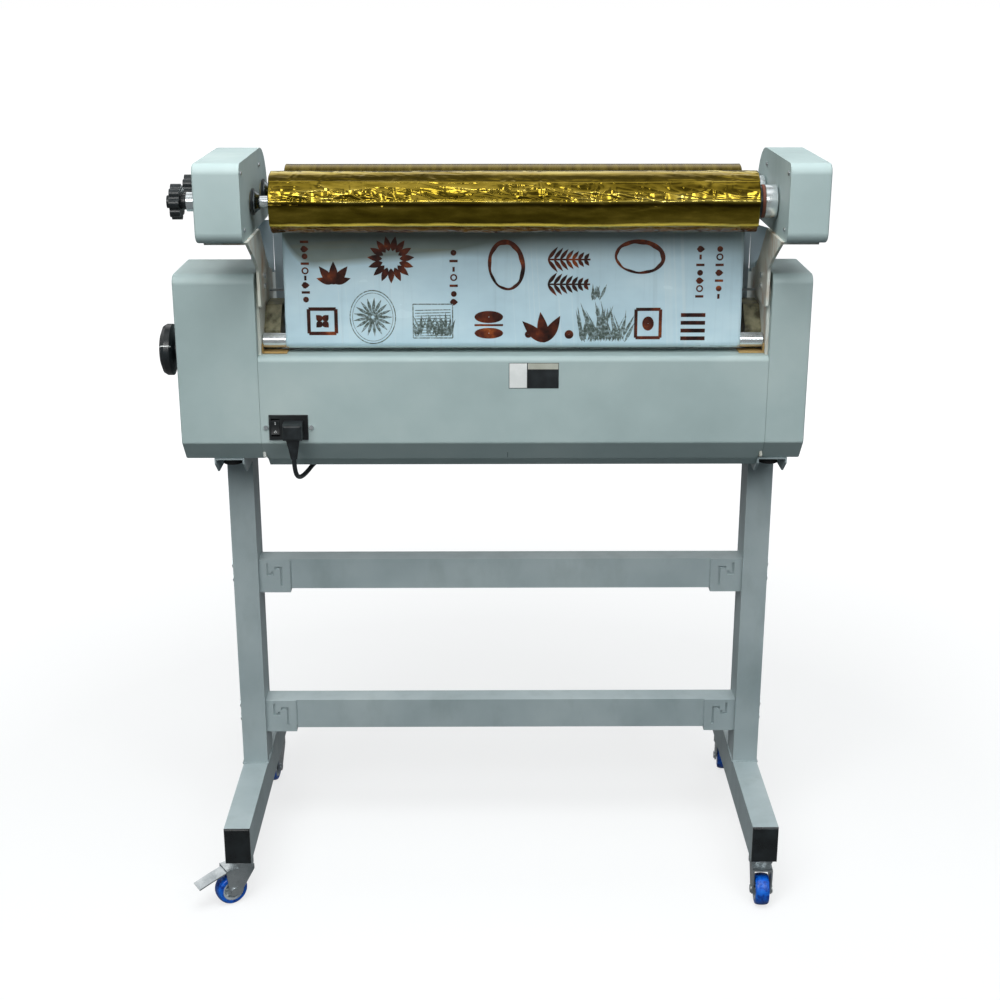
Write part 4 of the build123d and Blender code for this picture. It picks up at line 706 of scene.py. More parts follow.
# The mains lead's route in millimetres, the same control points as its solid has: from the boot down
# behind the cover, back under the belly, round the coil in the tray and on to the plug.
LEAD_RUN = [
    (-277, -180.512, 712), (-277, -178.512, 698), (-276, -165.512, 681), (-273, -141.512, 671),
    (-268, -107.512, 668), (-260, -63.512, 671), (-248, -17.512, 668), (-233, 26.488, 664),
    (-208, 54.488, 658),
]
COIL_CENTRE = (-174.0, 114.488)
COIL_OUTER, COIL_PITCH, COIL_TURNS, COIL_FLOOR = 51.0, 7.4, 5.18, 655.0
LEAD_TAIL = [(-129, 92.488, 662), (-120, 108.488, 662), (-98, 117.488, 662), (-64, 118.488, 661)]


class StamperMainsLead(bpy.types.Operator):
    """The mains lead: one line from its connector to its plug, the spare length coiled and tied"""

    bl_idname = "stamper.mains_lead"
    bl_label = "Mains lead"

    @staticmethod
    def coil():
        """Control points in millimetres: inwards on the tray, then outwards on top."""
        half, turn_points = COIL_TURNS / 2, 14
        count = round(COIL_TURNS * turn_points)
        cx, cy = COIL_CENTRE
        points = []
        for k in range(count + 1):
            t = COIL_TURNS * k / count
            radius = COIL_OUTER - COIL_PITCH * (t if t < half else COIL_TURNS - t)
            climb = min(max((t - half + 0.35) / 0.7, 0.0), 1.0)
            angle = math.radians(-90 + 360 * t)
            points.append((cx + radius * math.cos(angle), cy + radius * math.sin(angle),
                           COIL_FLOOR + COIL_PITCH * climb))
        return points

    def execute(self, context):
        sizes = context.scene.stamper_sizes
        route = [*LEAD_RUN, *self.coil(), *LEAD_TAIL]
        curve = bpy.data.curves.new("mains_lead_line", "CURVE")
        curve.dimensions = "3D"
        spline = curve.splines.new("NURBS")
        spline.points.add(len(route) - 1)
        for point, place in zip(spline.points, route):
            point.co = (*(v * MM for v in place), 1.0)
        spline.order_u = 3
        spline.use_endpoint_u = True
        spline.resolution_u = 6
        curve.bevel_depth = sizes.lead_diameter / 2
        curve.bevel_resolution = 5
        curve.use_fill_caps = True
        curve.materials.append(MATERIALS["lead_pvc"])
        lead = place_on(linked("mains_lead_line", curve), "machine", ("mains_lead", "lead_coil"))
        self.tie()
        return {"FINISHED"}

    @staticmethod
    def tie():
        """A strap of hook tape round the coil's turns, on the side away from the lead's ends."""
        cx, cy = COIL_CENTRE
        inner = COIL_OUTER - COIL_PITCH * COIL_TURNS / 2
        y, reach = cy + (COIL_OUTER + inner) / 2, (COIL_OUTER - inner) / 2 + 6.2
        low, high = COIL_FLOOR - 3.9, COIL_FLOOR + COIL_PITCH + 4.6
        z, rise = (low + high) / 2, (high - low) / 2
        wide, thick, count, square = 8.0, 0.9, 40, 0.45
        section = [(reach * math.copysign(abs(math.cos(a)) ** square, math.cos(a)),
                    rise * math.copysign(abs(math.sin(a)) ** square, math.sin(a))) for a in full_turn(count)]
        points = [((cx + across) * MM, (y + out * (1 + lift / reach)) * MM, (z + up * (1 + lift / reach)) * MM)
                  for across, lift in ((-wide, 0), (wide, 0), (wide, -thick), (-wide, -thick)) for out, up in section]
        faces = ring_faces([row % 4 * count for row in range(5)], count)
        return place_on(sharpen(mesh_object("lead_tie", points, faces, "hook_tape")), "machine")


class StamperFinishes(bpy.types.Operator):
    """Give every solid of the frame its material"""

    bl_idname = "stamper.finishes"
    bl_label = "Finishes"

    def execute(self, context):
        make_materials()
        for node in frame["nodes"].values():
            for place in node.material_slots:
                key = place.material.name.split(".")[0]
                if key not in MATERIALS:
                    raise RuntimeError(f"{node.name} has no finish for {key}")
                place.material = MATERIALS[key]
        return {"FINISHED"}


class StamperCasterWheels(bpy.types.Operator):
    """Blue treads on pale hubs with a bearing race at each side, one for each caster"""

    bl_idname = "stamper.caster_wheels"
    bl_label = "Caster wheels"

    def execute(self, context):
        for name in ("rear_left", "rear_right", "front_left", "front_right"):
            self.wheel(name, *joint_place(name + "_wheel_spin"))
        return {"FINISHED"}

    def wheel(self, name, spot, axis):
        half, outer, hub = 11 * MM, 25 * MM, 17 * MM
        crown = [(half * 0.98 * math.sin(a), outer - 4.2 * MM * (1 - math.cos(a) ** 0.7))
                 for a in (math.pi * (k / 12 - 0.5) for k in range(1, 12))]
        tread = [(-half, hub + 0.4 * MM), (-half, outer - 5.4 * MM), *crown, (half, outer - 5.4 * MM),
                 (half, hub + 0.4 * MM), (half * 0.7, hub - 0.6 * MM), (-half * 0.7, hub - 0.6 * MM)]
        piece = turned_piece("tread_" + name, tread, spot, "blue_polyurethane", axis, 72)
        place_on(piece, "wheel_" + name, ("caster_wheel_" + name,))
        face = [(half * 0.98, hub + 0.2 * MM), (half, hub - 1.2 * MM), (half * 0.93, hub - 2.6 * MM),
                (half * 0.62, hub - 4.2 * MM), (half * 0.6, 9.6 * MM), (half * 0.8, 8.8 * MM), (half * 0.84, 6.4 * MM)]
        shell = lathe([(-x, r) for x, r in face] + face[::-1], 72, spot, axis)
        parts = gathered(shell, *self.ribs(spot, axis, half, hub))
        place_on(sharpen(mesh_object("hub_" + name, *parts, "hub_nylon")), "wheel_" + name)
        for side, tag in ((-half, "a"), (half, "b")):
            seat = [(side * x, r * MM) for x, r in ((0.78, 6.6), (0.86, 6.4), (0.86, 4.2), (0.78, 4.1))]
            race = turned_piece(f"bearing_{tag}_{name}", seat, spot, "bearing_steel", axis, 48)
            place_on(race, "wheel_" + name)

    @staticmethod
    def ribs(spot, axis, half, hub):
        """Six stiffening ribs in the dish of each side."""
        side_way = axis.orthogonal().normalized()
        up = axis.cross(side_way)
        parts = []
        for face in (-half, half):
            for a in full_turn(6):
                out = side_way * math.cos(a) + up * math.sin(a)
                parts.append(bar_between([spot + axis * (face * along) + out * radius + axis.cross(out) * way
                                          for along in (0.55, 0.86) for radius in (9.0 * MM, hub - 2.4 * MM)
                                          for way in (-0.9 * MM, 0.9 * MM)]))
        return parts


# Where bands run round the waste roll, in degrees from +Y over the top: the painted highlight along a lip of loose
# film, the brown fold under it, the painted line of shade above it, the quiet window between, and the painted highlight
# of the top.
LIP_HIGHLIGHT, UNDER, TUCK_SHADE, QUIET, TOP = 222, 246, 179, 207, 92
# Long folds round that roll: place in degrees, how far they wander in radians, and their height.
SHARP_FOLDS = ((173, 0.04, 1.0), (222, 0.03, 0.8), (133, 0.07, 0.5))


def turned(angle, degrees):
    """How far an angle lies past a place in degrees, from -pi to pi."""
    return (angle - math.radians(degrees) + math.pi) % (2 * math.pi) - math.pi


def facing(angle, degrees, width):
    """1 where an angle is within width degrees of a place, fading to 0."""
    off = abs(turned(angle, degrees))
    return min(max((math.radians(width) - off) / 0.35 + 0.5, 0.0), 1.0)


def stripe(angle, degrees, drift, half):
    """1 on a thin line round the roll, fading to 0 over half, in radians."""
    return max(0.0, 1 - abs(angle - math.radians(degrees) - drift) / half) ** 0.6


def crumple(x, angle):
    """How slack the wound foil is at a place, from 0, tight, to 1, crumpled."""
    patch = 0.5 + 0.5 * noise.noise(Vector((x * 5.0 + 3, angle * 1.1, 8.2)))
    patch = min(max((patch - 0.2) * 2.0, 0.2), 1.0)
    return patch * (1 - 0.85 * facing(angle, QUIET, 22)) * (1 - 0.6 * facing(angle, 100, 30))


def crease_at(x, angle):
    """Ridge height from 0 to 1 of the sharp folds in the wound foil, and how slack it is."""
    around = Vector((math.cos(angle), math.sin(angle), 0))
    twist = Vector((x * 13 + around.x * 2.5, around.x * 2.4, around.y * 2.4))
    sharp = max(0.0, 1 - abs(noise.noise(twist)) * 4.2) ** 1.5
    steep = Vector((x * 34 + around.y * 5, around.x * 4.6 + 9, around.y * 4.6))
    small = max(0.0, 1 - abs(noise.noise(steep)) * 3.4) ** 1.5
    slack = crumple(x, angle)
    fold = slack * (0.6 * sharp + 0.4 * small)
    for place, wave, size in SHARP_FOLDS:
        wander = wave * noise.noise(Vector((x * 3.2, place, 0.3))) + 0.02 * noise.noise(Vector((x * 17, place, 5.3)))
        fold = max(fold, size * max(0.0, 1 - abs(turned(angle - wander, place)) / 0.085) ** 1.3)
    return min(1.0, fold), slack


class StamperReels(bpy.types.Operator):
    """The rewound, creased waste roll, the tight supply roll, their paper cores and winding ends"""

    bl_idname = "stamper.reels"
    bl_label = "Reels of foil"

    def execute(self, context):
        depth = context.scene.stamper_sizes.crease_depth
        self.creased(*REELS["rewind"], depth)
        self.tight(*REELS["supply"])
        for name, (centre, _radius, half) in REELS.items():
            end = half - 0.2 * MM
            tube = [(-end, CORE_R), (-end, CORE_BORE), (end, CORE_BORE), (end, CORE_R)]
            place_on(turned_piece(name + "_core", tube, centre, "kraft"), name + "_reel")
        return {"FINISHED"}

    @staticmethod
    def creased(centre, radius, half, depth):
        """A tube of loose windings: folds over its surface, ragged ends, and wound faces."""
        columns, rows = 420, 240
        turns = full_turn(rows)
        points, marks = [], {"crease": [], "slack": [], "lip": [], "under": [], "tuck_shade": []}
        for i in range(columns + 1):
            share = i / columns * 2 - 1
            for angle in turns:
                x = share * half
                c, s = math.cos(angle), math.sin(angle)
                ragged = 1.5 * MM * (0.5 + 0.5 * noise.noise(Vector((c * 3, s * 3, share * 4))))
                x -= math.copysign(ragged * abs(share) ** 12, x)
                fold, loose = crease_at(x, angle)
                billow = 0.5 + 0.5 * noise.noise(Vector((x * 6, c * 1.6, s * 1.6)))
                r = radius - depth * (1.0 - 0.4 * billow - 0.6 * fold)
                points.append(centre + Vector((x, r * c, r * s)))
                drift = 0.06 * noise.noise(Vector((x * 14, 5.5, 1.1))) + 0.025 * noise.noise(Vector((x * 60, 2.2, 7.7)))
                # In the colour, crease is painted highlight on the fold ridges and on a band over the top; lip is a
                # painted highlight line and the line above it is painted shade.
                for name, value in (("crease", max(fold, 0.9 * facing(angle, TOP, 16))), ("slack", loose),
                                    ("lip", stripe(angle, LIP_HIGHLIGHT, drift, 0.08)),
                                    ("under", 0.8 * facing(angle - drift, UNDER, 17)),
                                    ("tuck_shade", 0.85 * stripe(angle, TUCK_SHADE, 0.6 * drift, 0.09))):
                    marks[name].append(value)
        outer = len(points)
        rings = [i * rows for i in range(columns + 1)]
        ends = {-1: [], 1: []}
        for side, starts in ends.items():
            for k, share in enumerate((0.72, 0.48, 0.24, 0.0)):
                starts.append(len(points))
                r = CORE_R + (radius - 1.5 * MM - CORE_R) * share
                x = side * (half - (1.2 + 0.6 * (k % 2)) * MM)
                points += [centre + Vector((x, r * math.cos(a), r * math.sin(a))) for a in turns]
        faces = ring_faces([*reversed(ends[-1]), *rings, *ends[1]], rows)
        roll = mesh_object("rewound_foil", points, faces, "gold_foil", tidy=False)
        mesh = roll.data
        with_bmesh(mesh, outward)
        on_ends = {"crease": 0.2, "slack": 0.3}
        for name, values in marks.items():
            values += [on_ends.get(name, 0.0)] * (len(points) - outer)
            mesh.attributes.new(name, "FLOAT", "POINT").data.foreach_set("value", values)
        layer = mesh.uv_layers.new(name="wound")
        for polygon in mesh.polygons:
            angles = [math.atan2(points[v].z - centre.z, points[v].y - centre.y) % (2 * math.pi)
                      for v in polygon.vertices]
            seam = max(angles) - min(angles) > math.pi
            for loop, vertex, angle in zip(polygon.loop_indices, polygon.vertices, angles):
                angle += 2 * math.pi if seam and angle < math.pi else 0
                layer.data[loop].uv = (points[vertex].x, angle * radius)
        place_on(roll, "rewind_reel", ("rewind_roll",))

    @staticmethod
    def tight(centre, radius, half):
        """The supply roll: windings that rise and fall by a quarter of a millimetre."""
        edge, count = 0.8 * MM, 60
        face = [(x, radius - 0.25 * MM * (0.5 + 0.5 * noise.noise(Vector((x * 12, 4.4, 0)))))
                for x in (-half + 2 * half * k / count for k in range(1, count))]
        outline = [(-half, CORE_R), (-half, radius - edge), (-half + edge, radius), *face,
                   (half - edge, radius), (half, radius - edge), (half, CORE_R)]
        roll = turned_piece("supply_foil", outline, centre, "tight_gold", segments=96)
        place_on(roll, "supply_reel", ("supply_roll",))


def on_circle(centre, radius, angle):
    """A (y, z) point at an angle on a circle round centre."""
    return centre.y + radius * math.cos(angle), centre.z + radius * math.sin(angle)


def tangent(low, high, radii):
    """The slope of the line between two centres, and the swing of a line that touches both circles
    when the sum or difference of their radii is given."""
    dy, dz = high.y - low.y, high.z - low.z
    return math.atan2(dz, dy), math.asin(radii / math.hypot(dy, dz))


class FilmPath:
    """The spent film's way from the nip under the guide roller and up behind the rewind roll."""

    def __init__(self):
        centre, radius, _half = REELS["rewind"]
        r_low, r_high = GUIDE_R + FILM_GAP, radius + FILM_GAP
        slope, swing = tangent(GUIDE, centre, r_low + r_high)
        meet, leave, parts = math.radians(272), slope - swing + math.pi / 2, 14
        arc = [on_circle(GUIDE, r_low, meet + (leave - meet) * k / parts) for k in range(parts + 1)]
        self.points = [(UPPER_ROLLER.y - 9 * MM, NIP_Z - 0.15 * MM), *arc, on_circle(centre, r_high, leave - math.pi)]
        self.start = self.length_to(len(arc))
        self.total = self.length_to(len(self.points) - 1)
        self.outward = Vector((0, math.cos(leave), math.sin(leave)))

    def length_to(self, index):
        return sum(math.dist(a, b) for a, b in zip(self.points[:index], self.points[1:index + 1]))

    def at(self, distance):
        """Point and direction at a distance along the path."""
        for a, b in zip(self.points, self.points[1:]):
            step = math.dist(a, b)
            way = ((b[0] - a[0]) / step, (b[1] - a[1]) / step)
            if distance <= step or b is self.points[-1]:
                break
            distance -= step
        return (a[0] + way[0] * distance, a[1] + way[1] * distance), way


def ripple(u, v, height):
    """The film's slack waves at u across and v up its free span; none on the roller."""
    if v <= 0:
        return 0.0
    fade = min(v / 0.03, 1.0)
    wave = noise.noise(Vector((u * 9, v * 3.2, 1.7))) + 0.4 * noise.noise(Vector((u * 26, v * 5, 6.1)))
    return height * fade * wave


class StamperFilm(bpy.types.Operator):
    """The spent film with what is left on it, and the fresh foil going down to the nip"""

    bl_idname = "stamper.film"
    bl_label = "Film"

    def execute(self, context):
        self.path = FilmPath()
        self.height = context.scene.stamper_sizes.film_ripple
        place_on(self.web(), "machine", ("foil_web",))
        place_on(self.fresh(), "machine")
        place_on(self.prints("copper_prints", self.copper(), "copper_print"), "machine")
        place_on(self.prints("grey_prints", self.grey(), "grey_print"), "machine")
        return {"FINISHED"}

    def place(self, u, v, lift=0.0):
        """A point on the film's near face: u across from the middle, v up from the guide roller."""
        (y, z), way = self.path.at(self.path.start + v)
        out = self.path.outward if v > 0 else Vector((0, -way[1], way[0]))
        return Vector((WEB_X + u, y, z)) + out * (ripple(u, v, self.height) + lift)

    def web(self):
        """The spent film itself, with slightly wavy edges."""
        across, lead_in, start = 150, 0.06, self.path.start
        rows = [0.0, 0.02, 0.04, lead_in]
        rows += [lead_in + (start - lead_in) * k / 16 for k in range(1, 17) if start > lead_in]
        rows += [start + (self.path.total - start) * k / 46 for k in range(1, 47)]
        points, uvs = [], []
        for s in rows:
            for i in range(across + 1):
                side = i / across * 2 - 1
                wave = 1 + noise.noise(Vector((s * 30, side * 4, 2)))
                u = side * FILM_HALF - math.copysign(0.5 * MM * abs(side) ** 20 * wave, side)
                points.append(self.place(u, s - start))
                uvs.append((u, s - start))
        film = mesh_object("spent_film", points, sheet_faces(len(rows), across + 1), "polyester_film", tidy=False)
        layer = film.data.uv_layers.new(name="film")
        for loop in film.data.loops:
            layer.data[loop.index].uv = uvs[loop.vertex_index]
        return gauged(film, 0.12 * MM)

    def fresh(self):
        """Gold foil from the supply roll down the feed side of the upper roller to the nip."""
        centre, radius, _half = REELS["supply"]
        r_low, r_high = UPPER_R + FILM_GAP, radius + FILM_GAP
        slope, swing = tangent(UPPER_ROLLER, centre, r_low - r_high)
        side, nip, parts, across = slope - math.pi / 2 + swing, math.radians(-72), 16, 40
        line = [on_circle(centre, r_high, side)]
        line += [on_circle(UPPER_ROLLER, r_low, side + (nip - side) * k / parts) for k in range(parts + 1)]
        points = [Vector((WEB_X + FILM_HALF * (i / across * 2 - 1), y, z)) for y, z in line for i in range(across + 1)]
        foil = mesh_object("fresh_foil", points, sheet_faces(len(line), across + 1), "tight_gold", tidy=False)
        return gauged(foil, 0.12 * MM)

    # Motifs are lists of strips; a strip is a list of left and right edge points in (u, v), metres.
    @staticmethod
    def loop(u, v, a, b, width, parts=56):
        """An oval ring of half axes a and b."""
        inner = 1 - width / max(a, b)
        return [tuple((u + a * size * math.cos(t), v + b * size * math.sin(t)) for size in (1, inner))
                for t in [*full_turn(parts), 2 * math.pi]]

    @staticmethod
    def leaf(u, v, angle, length, width, parts=10):
        """A pointed leaf from (u, v) at an angle in degrees."""
        strip = []
        c, s = math.cos(math.radians(angle)), math.sin(math.radians(angle))
        for k in range(parts + 1):
            t = k / parts
            half = width / 2 * math.sin(math.pi * t ** 0.8)
            strip.append(tuple((u + length * t * c - side * half * s, v + length * t * s + side * half * c)
                               for side in (1, -1)))
        return strip

    @staticmethod
    def line(start, end, width, parts=6):
        """A straight stroke."""
        (u0, v0), (u1, v1) = start, end
        long = math.dist(start, end)
        nu, nv = -(v1 - v0) / long * width / 2, (u1 - u0) / long * width / 2
        return [((u0 + (u1 - u0) * k / parts + nu, v0 + (v1 - v0) * k / parts + nv),
                 (u0 + (u1 - u0) * k / parts - nu, v0 + (v1 - v0) * k / parts - nv)) for k in range(parts + 1)]

    def rosette(self, u, v, petals, inner, outer, width, first=0.0):
        """Leaves that point out from a ring, the first at an angle in degrees."""
        return [self.leaf(u + inner * math.cos(a), v + inner * math.sin(a), math.degrees(a), outer - inner, width)
                for a in (math.radians(first) + turn for turn in full_turn(petals))]

    def frame_of(self, u, v, wide, tall, width):
        """A rectangle of four strokes."""
        a, b = wide / 2, tall / 2
        corners = [(u - a, v - b), (u + a, v - b), (u + a, v + b), (u - a, v + b)]
        return [self.line(p, q, width) for p, q in zip(corners, corners[1:] + corners[:1])]

    def disc(self, u, v, a, b):
        """A filled oval."""
        return self.loop(u, v, a, b, 0.96 * max(a, b), 40)

    def brush_ring(self, u, v, a, b, lean, thin, thick):
        """An oval ring drawn as with a brush: thin on one side and thick on the other."""
        strip, c, s = [], math.cos(lean), math.sin(lean)
        for t in [*full_turn(64), 2 * math.pi]:
            width = thin + (thick - thin) * (0.5 + 0.5 * math.sin(t + 0.6)) + 0.0006 * math.sin(9 * t)
            strip.append(tuple((u + x * c - y * s, v + x * s + y * c)
                               for x, y in ((a * math.cos(t), b * math.sin(t)),
                                            ((a - width) * math.cos(t), (b - width) * math.sin(t)))))
        return strip

    def column(self, u, v, step, marks):
        """Small shapes one over another: o disc, d diamond, b bar, t tick, c ring."""
        draw = {"o": lambda z: self.disc(u, z, 0.0042, 0.0042),
                "d": lambda z: self.leaf(u - 0.006, z, 0, 0.012, 0.010, 4),
                "b": lambda z: self.line((u - 0.006, z), (u + 0.006, z), 0.0036),
                "t": lambda z: self.line((u, z - 0.0035), (u, z + 0.0035), 0.0034),
                "c": lambda z: self.loop(u, z, 0.0052, 0.0052, 0.0022, 24)}
        return [draw[mark](v + step * k) for k, mark in enumerate(marks)]

    def fern(self, u, v, length, reach, barbs):
        """A stem across the web with barbs that lean along it."""
        shapes = [self.line((u, v), (u + length, v), 0.0026)]
        for k in range(barbs):
            start = u + length * k / barbs
            size = reach * (1 - 0.6 * k / barbs)
            shapes += [self.leaf(start, v, side * 52, size, 0.0055) for side in (1, -1)]
        return shapes

    def thicket(self, u, v, wide, tall, count, seed):
        """Overlapping blades of the fine, half-transferred pictures."""
        draw = random.Random(seed)
        shapes = []
        for k in range(count):
            x = u + wide * (draw.random() - 0.5)
            size = tall * (0.35 + 0.65 * draw.random()) * (1 - 0.5 * abs(x - u) / wide)
            shapes.append(self.leaf(x, v + 0.004 * draw.random(), 90 + draw.uniform(-28, 28), size,
                                    draw.uniform(0.0022, 0.0052), 6))
        return shapes

    def copper(self):
        """Bold motifs left in copper: plant and ring shapes, frames and columns of small marks."""
        return [
            *self.column(-0.303, 0.062, 0.0105, "obdtcbodb"), *self.column(-0.087, 0.058, 0.012, "dobctbo"),
            *self.column(0.272, 0.066, 0.0115, "bcdobtd"), *self.column(0.300, 0.066, 0.0115, "tobdbco"),
            *[self.leaf(-0.262, 0.084, a, 0.034, 0.013) for a in (90, 52, 128)],
            *[self.leaf(-0.262, 0.086, a, 0.026, 0.010) for a in (16, 164)],
            *self.rosette(-0.178, 0.120, 15, 0.0125, 0.0345, 0.0092, 6),
            self.brush_ring(-0.010, 0.112, 0.027, 0.037, 0.12, 0.0036, 0.0074),
            *self.fern(0.050, 0.120, 0.062, 0.024, 7), *self.fern(0.050, 0.084, 0.062, 0.022, 7),
            self.brush_ring(0.184, 0.124, 0.037, 0.025, -0.08, 0.0034, 0.0070),
            *self.frame_of(-0.280, 0.030, 0.040, 0.036, 0.0052),
            *self.rosette(-0.280, 0.030, 4, 0.001, 0.013, 0.010, 45),
            self.disc(-0.036, 0.036, 0.021, 0.009), self.disc(-0.036, 0.012, 0.021, 0.008),
            self.line((-0.057, 0.024), (-0.015, 0.024), 0.0030),
            *[self.leaf(0.046, -0.002, a, 0.046, 0.016) for a in (60, 98, 136)],
            self.disc(0.082, 0.010, 0.0065, 0.0065), self.disc(0.022, 0.010, 0.0050, 0.0050),
            *self.frame_of(0.198, 0.026, 0.036, 0.042, 0.0048), self.disc(0.198, 0.026, 0.0085, 0.0105),
            *[self.line((0.246, 0.004 + 0.0115 * k), (0.282, 0.004 + 0.0115 * k), 0.0058) for k in range(4)],
        ]

    def grey(self):
        """Fine pictures left in grey: a rayed medallion, a hatched block and two thickets."""
        return [
            self.loop(-0.206, 0.036, 0.034, 0.040, 0.0016), self.loop(-0.206, 0.036, 0.030, 0.036, 0.0009),
            *self.rosette(-0.206, 0.036, 17, 0.007, 0.029, 0.0044),
            *self.rosette(-0.206, 0.036, 11, 0.002, 0.014, 0.0040, 10),
            *self.frame_of(-0.118, 0.030, 0.058, 0.050, 0.0016),
            *self.thicket(-0.118, 0.006, 0.052, 0.044, 34, 5),
            *[self.line((-0.144, 0.008 + 0.0042 * k), (-0.092, 0.009 + 0.0042 * k), 0.0013) for k in range(10)],
            *self.thicket(0.132, -0.002, 0.066, 0.066, 58, 11),
            *self.thicket(0.120, 0.060, 0.018, 0.030, 9, 23),
        ]

    def prints(self, name, strips, finish):
        """The strips laid on the film, each a little above the last so that overlaps don't flicker."""
        parts = []
        for number, strip in enumerate(strips):
            lift = 0.16 * MM + 0.02 * MM * (number % 3)
            parts.append(([self.place(*edge, lift) for pair in strip for edge in pair], strip_faces(len(strip))))
        return gauged(mesh_object(name, *gathered(*parts), finish, smooth=False, tidy=False), 0.04 * MM)


class StamperChucks(bpy.types.Operator):
    """Left flanges and hubs, right drive cups, and the plugs that grip the cores"""

    bl_idname = "stamper.chucks"
    bl_label = "Reel chucks"

    def execute(self, context):
        for name, (centre, _radius, half) in REELS.items():
            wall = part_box(name + "_chucks")[1].x - centre.x
            for tag, outline, finish in (*self.left(half, wall), *self.right(half, wall)):
                stands_for = (name + "_chucks",) if tag == "flange" else ()
                place_on(turned_piece(f"{name}_{tag}", outline, centre, finish), name + "_reel", stands_for)
        return {"FINISHED"}

    # Outlines are (along, radius) in millimetres from the wall of the reel box or the roll's end.
    @staticmethod
    def left(half, wall):
        bore = SHAFT_R / MM
        yield "flange", profile(-wall, [(0, bore), (0, 17.6), (0.6, 18.6), (3, 18.6), (3.8, 17.6),
                                        (3.8, bore)]), "black_plastic"
        yield "hub", profile(-wall, [(3.8, bore), (3.8, 15.5), (5.2, 15.5), (8.5, 12), (11, 11), (11.6, 10.2),
                                     (11.6, bore)]), "bearing_steel"
        yield "left_plug", profile(-half, [(-2.2, bore), (-2.2, 21), (-1.4, 21.8), (-0.2, 21.8), (-0.2, 19.8),
                                           (24, 19.8), (26, 18), (26, bore)]), "black_plastic"

    @staticmethod
    def right(half, wall):
        bore, start = SHAFT_R / MM, half + 10 * MM
        yield "cup", (profile(start, [(0, 18), (0, 22.6), (0.8, 23.4)])
                      + profile(wall, [(-0.8, 23.4), (0, 22.8), (0, bore), (-3, bore), (-3, 18)])), "polished_chrome"
        yield "cup_ring", profile(start, [(-4, 21.8), (-4, 22.6), (-3.4, 23.2), (-0.3, 23.2),
                                          (-0.3, 21.8)]), "silicone_rubber"
        yield "right_plug", (profile(half, [(-26, bore), (-26, 18), (-24, 19.8), (0.2, 19.8), (0.8, 21), (1.6, 21.8)])
                             + profile(start, [(-0.3, 21.8), (-0.3, 17.6)])
                             + profile(wall, [(-2.8, 17.6), (-2.8, bore)])), "black_plastic"


class StamperCoverPlate(bpy.types.Operator):
    """A blank three-coloured plate on the rear cover, and the seam of the lower bands"""

    bl_idname = "stamper.cover_plate"
    bl_label = "Blank plate and seam"

    def execute(self, context):
        sizes = context.scene.stamper_sizes
        wide, tall = sizes.label_width, sizes.label_height
        x0, z0 = WEB_X + 30 * MM - wide / 2, COVER_HIGH.z - 28 * MM - tall / 2
        face = COVER_LOW.y
        thick, rim = 0.5 * MM, 0.7 * MM
        base = slab((x0 - rim, face - thick, z0 - rim), (x0 + wide + rim, face + 0.02 * MM, z0 + tall + rim))
        place_on(bevelled(mesh_object("plate_base", *base, "black_vinyl", smooth=False), 0.2 * MM), "machine")
        for name, left, right, low, high, finish in (
                ("plate_pale_field", 0, 0.36, 0, 1, "white_vinyl"),
                ("plate_band", 0.38, 1, 0.76, 1, "silver_vinyl"),
                ("plate_dark_field", 0.38, 1, 0, 0.74, "black_vinyl")):
            box = slab((x0 + wide * left, face - thick - 0.2 * MM, z0 + tall * low),
                       (x0 + wide * right, face - thick + 0.05 * MM, z0 + tall * high))
            place_on(bevelled(mesh_object(name, *box, finish, smooth=False), 0.15 * MM), "machine")
        self.seam()
        return {"FINISHED"}

    @staticmethod
    def seam():
        """A dark strip along the closed joint of the cover's two lower bands: painted shade of the joint."""
        verts = [v.co for v in frame["nodes"]["rear_cover"].data.vertices]
        belly = COVER_LOW.z
        foot = min(v.y for v in verts if v.z < belly + 0.1 * MM)
        bend = max((v for v in verts if v.z < belly + 25 * MM and v.y < foot), key=lambda v: -v.y)
        low, high = (bend.y, bend.z), (COVER_LOW.y + 0.4 * MM, belly + 47 * MM)
        x, half, proud = WEB_X - 8 * MM, 0.5 * MM, 0.12 * MM
        run = Vector((0, high[0] - low[0], high[1] - low[1])).normalized()
        out = Vector((0, run.z, -run.y)) * (-1 if run.z > 0 else 1)
        start, end = Vector((x, *low)) + run * (2 * MM), Vector((x, *high)) - run * (2 * MM)
        bar = bar_between([p + Vector((side * half, 0, 0)) + out * lift
                           for p in (start, end) for side in (-1, 1) for lift in (-0.3 * MM, proud)])
        place_on(mesh_object("cover_seam", *bar, "seam_shadow", smooth=False), "machine")


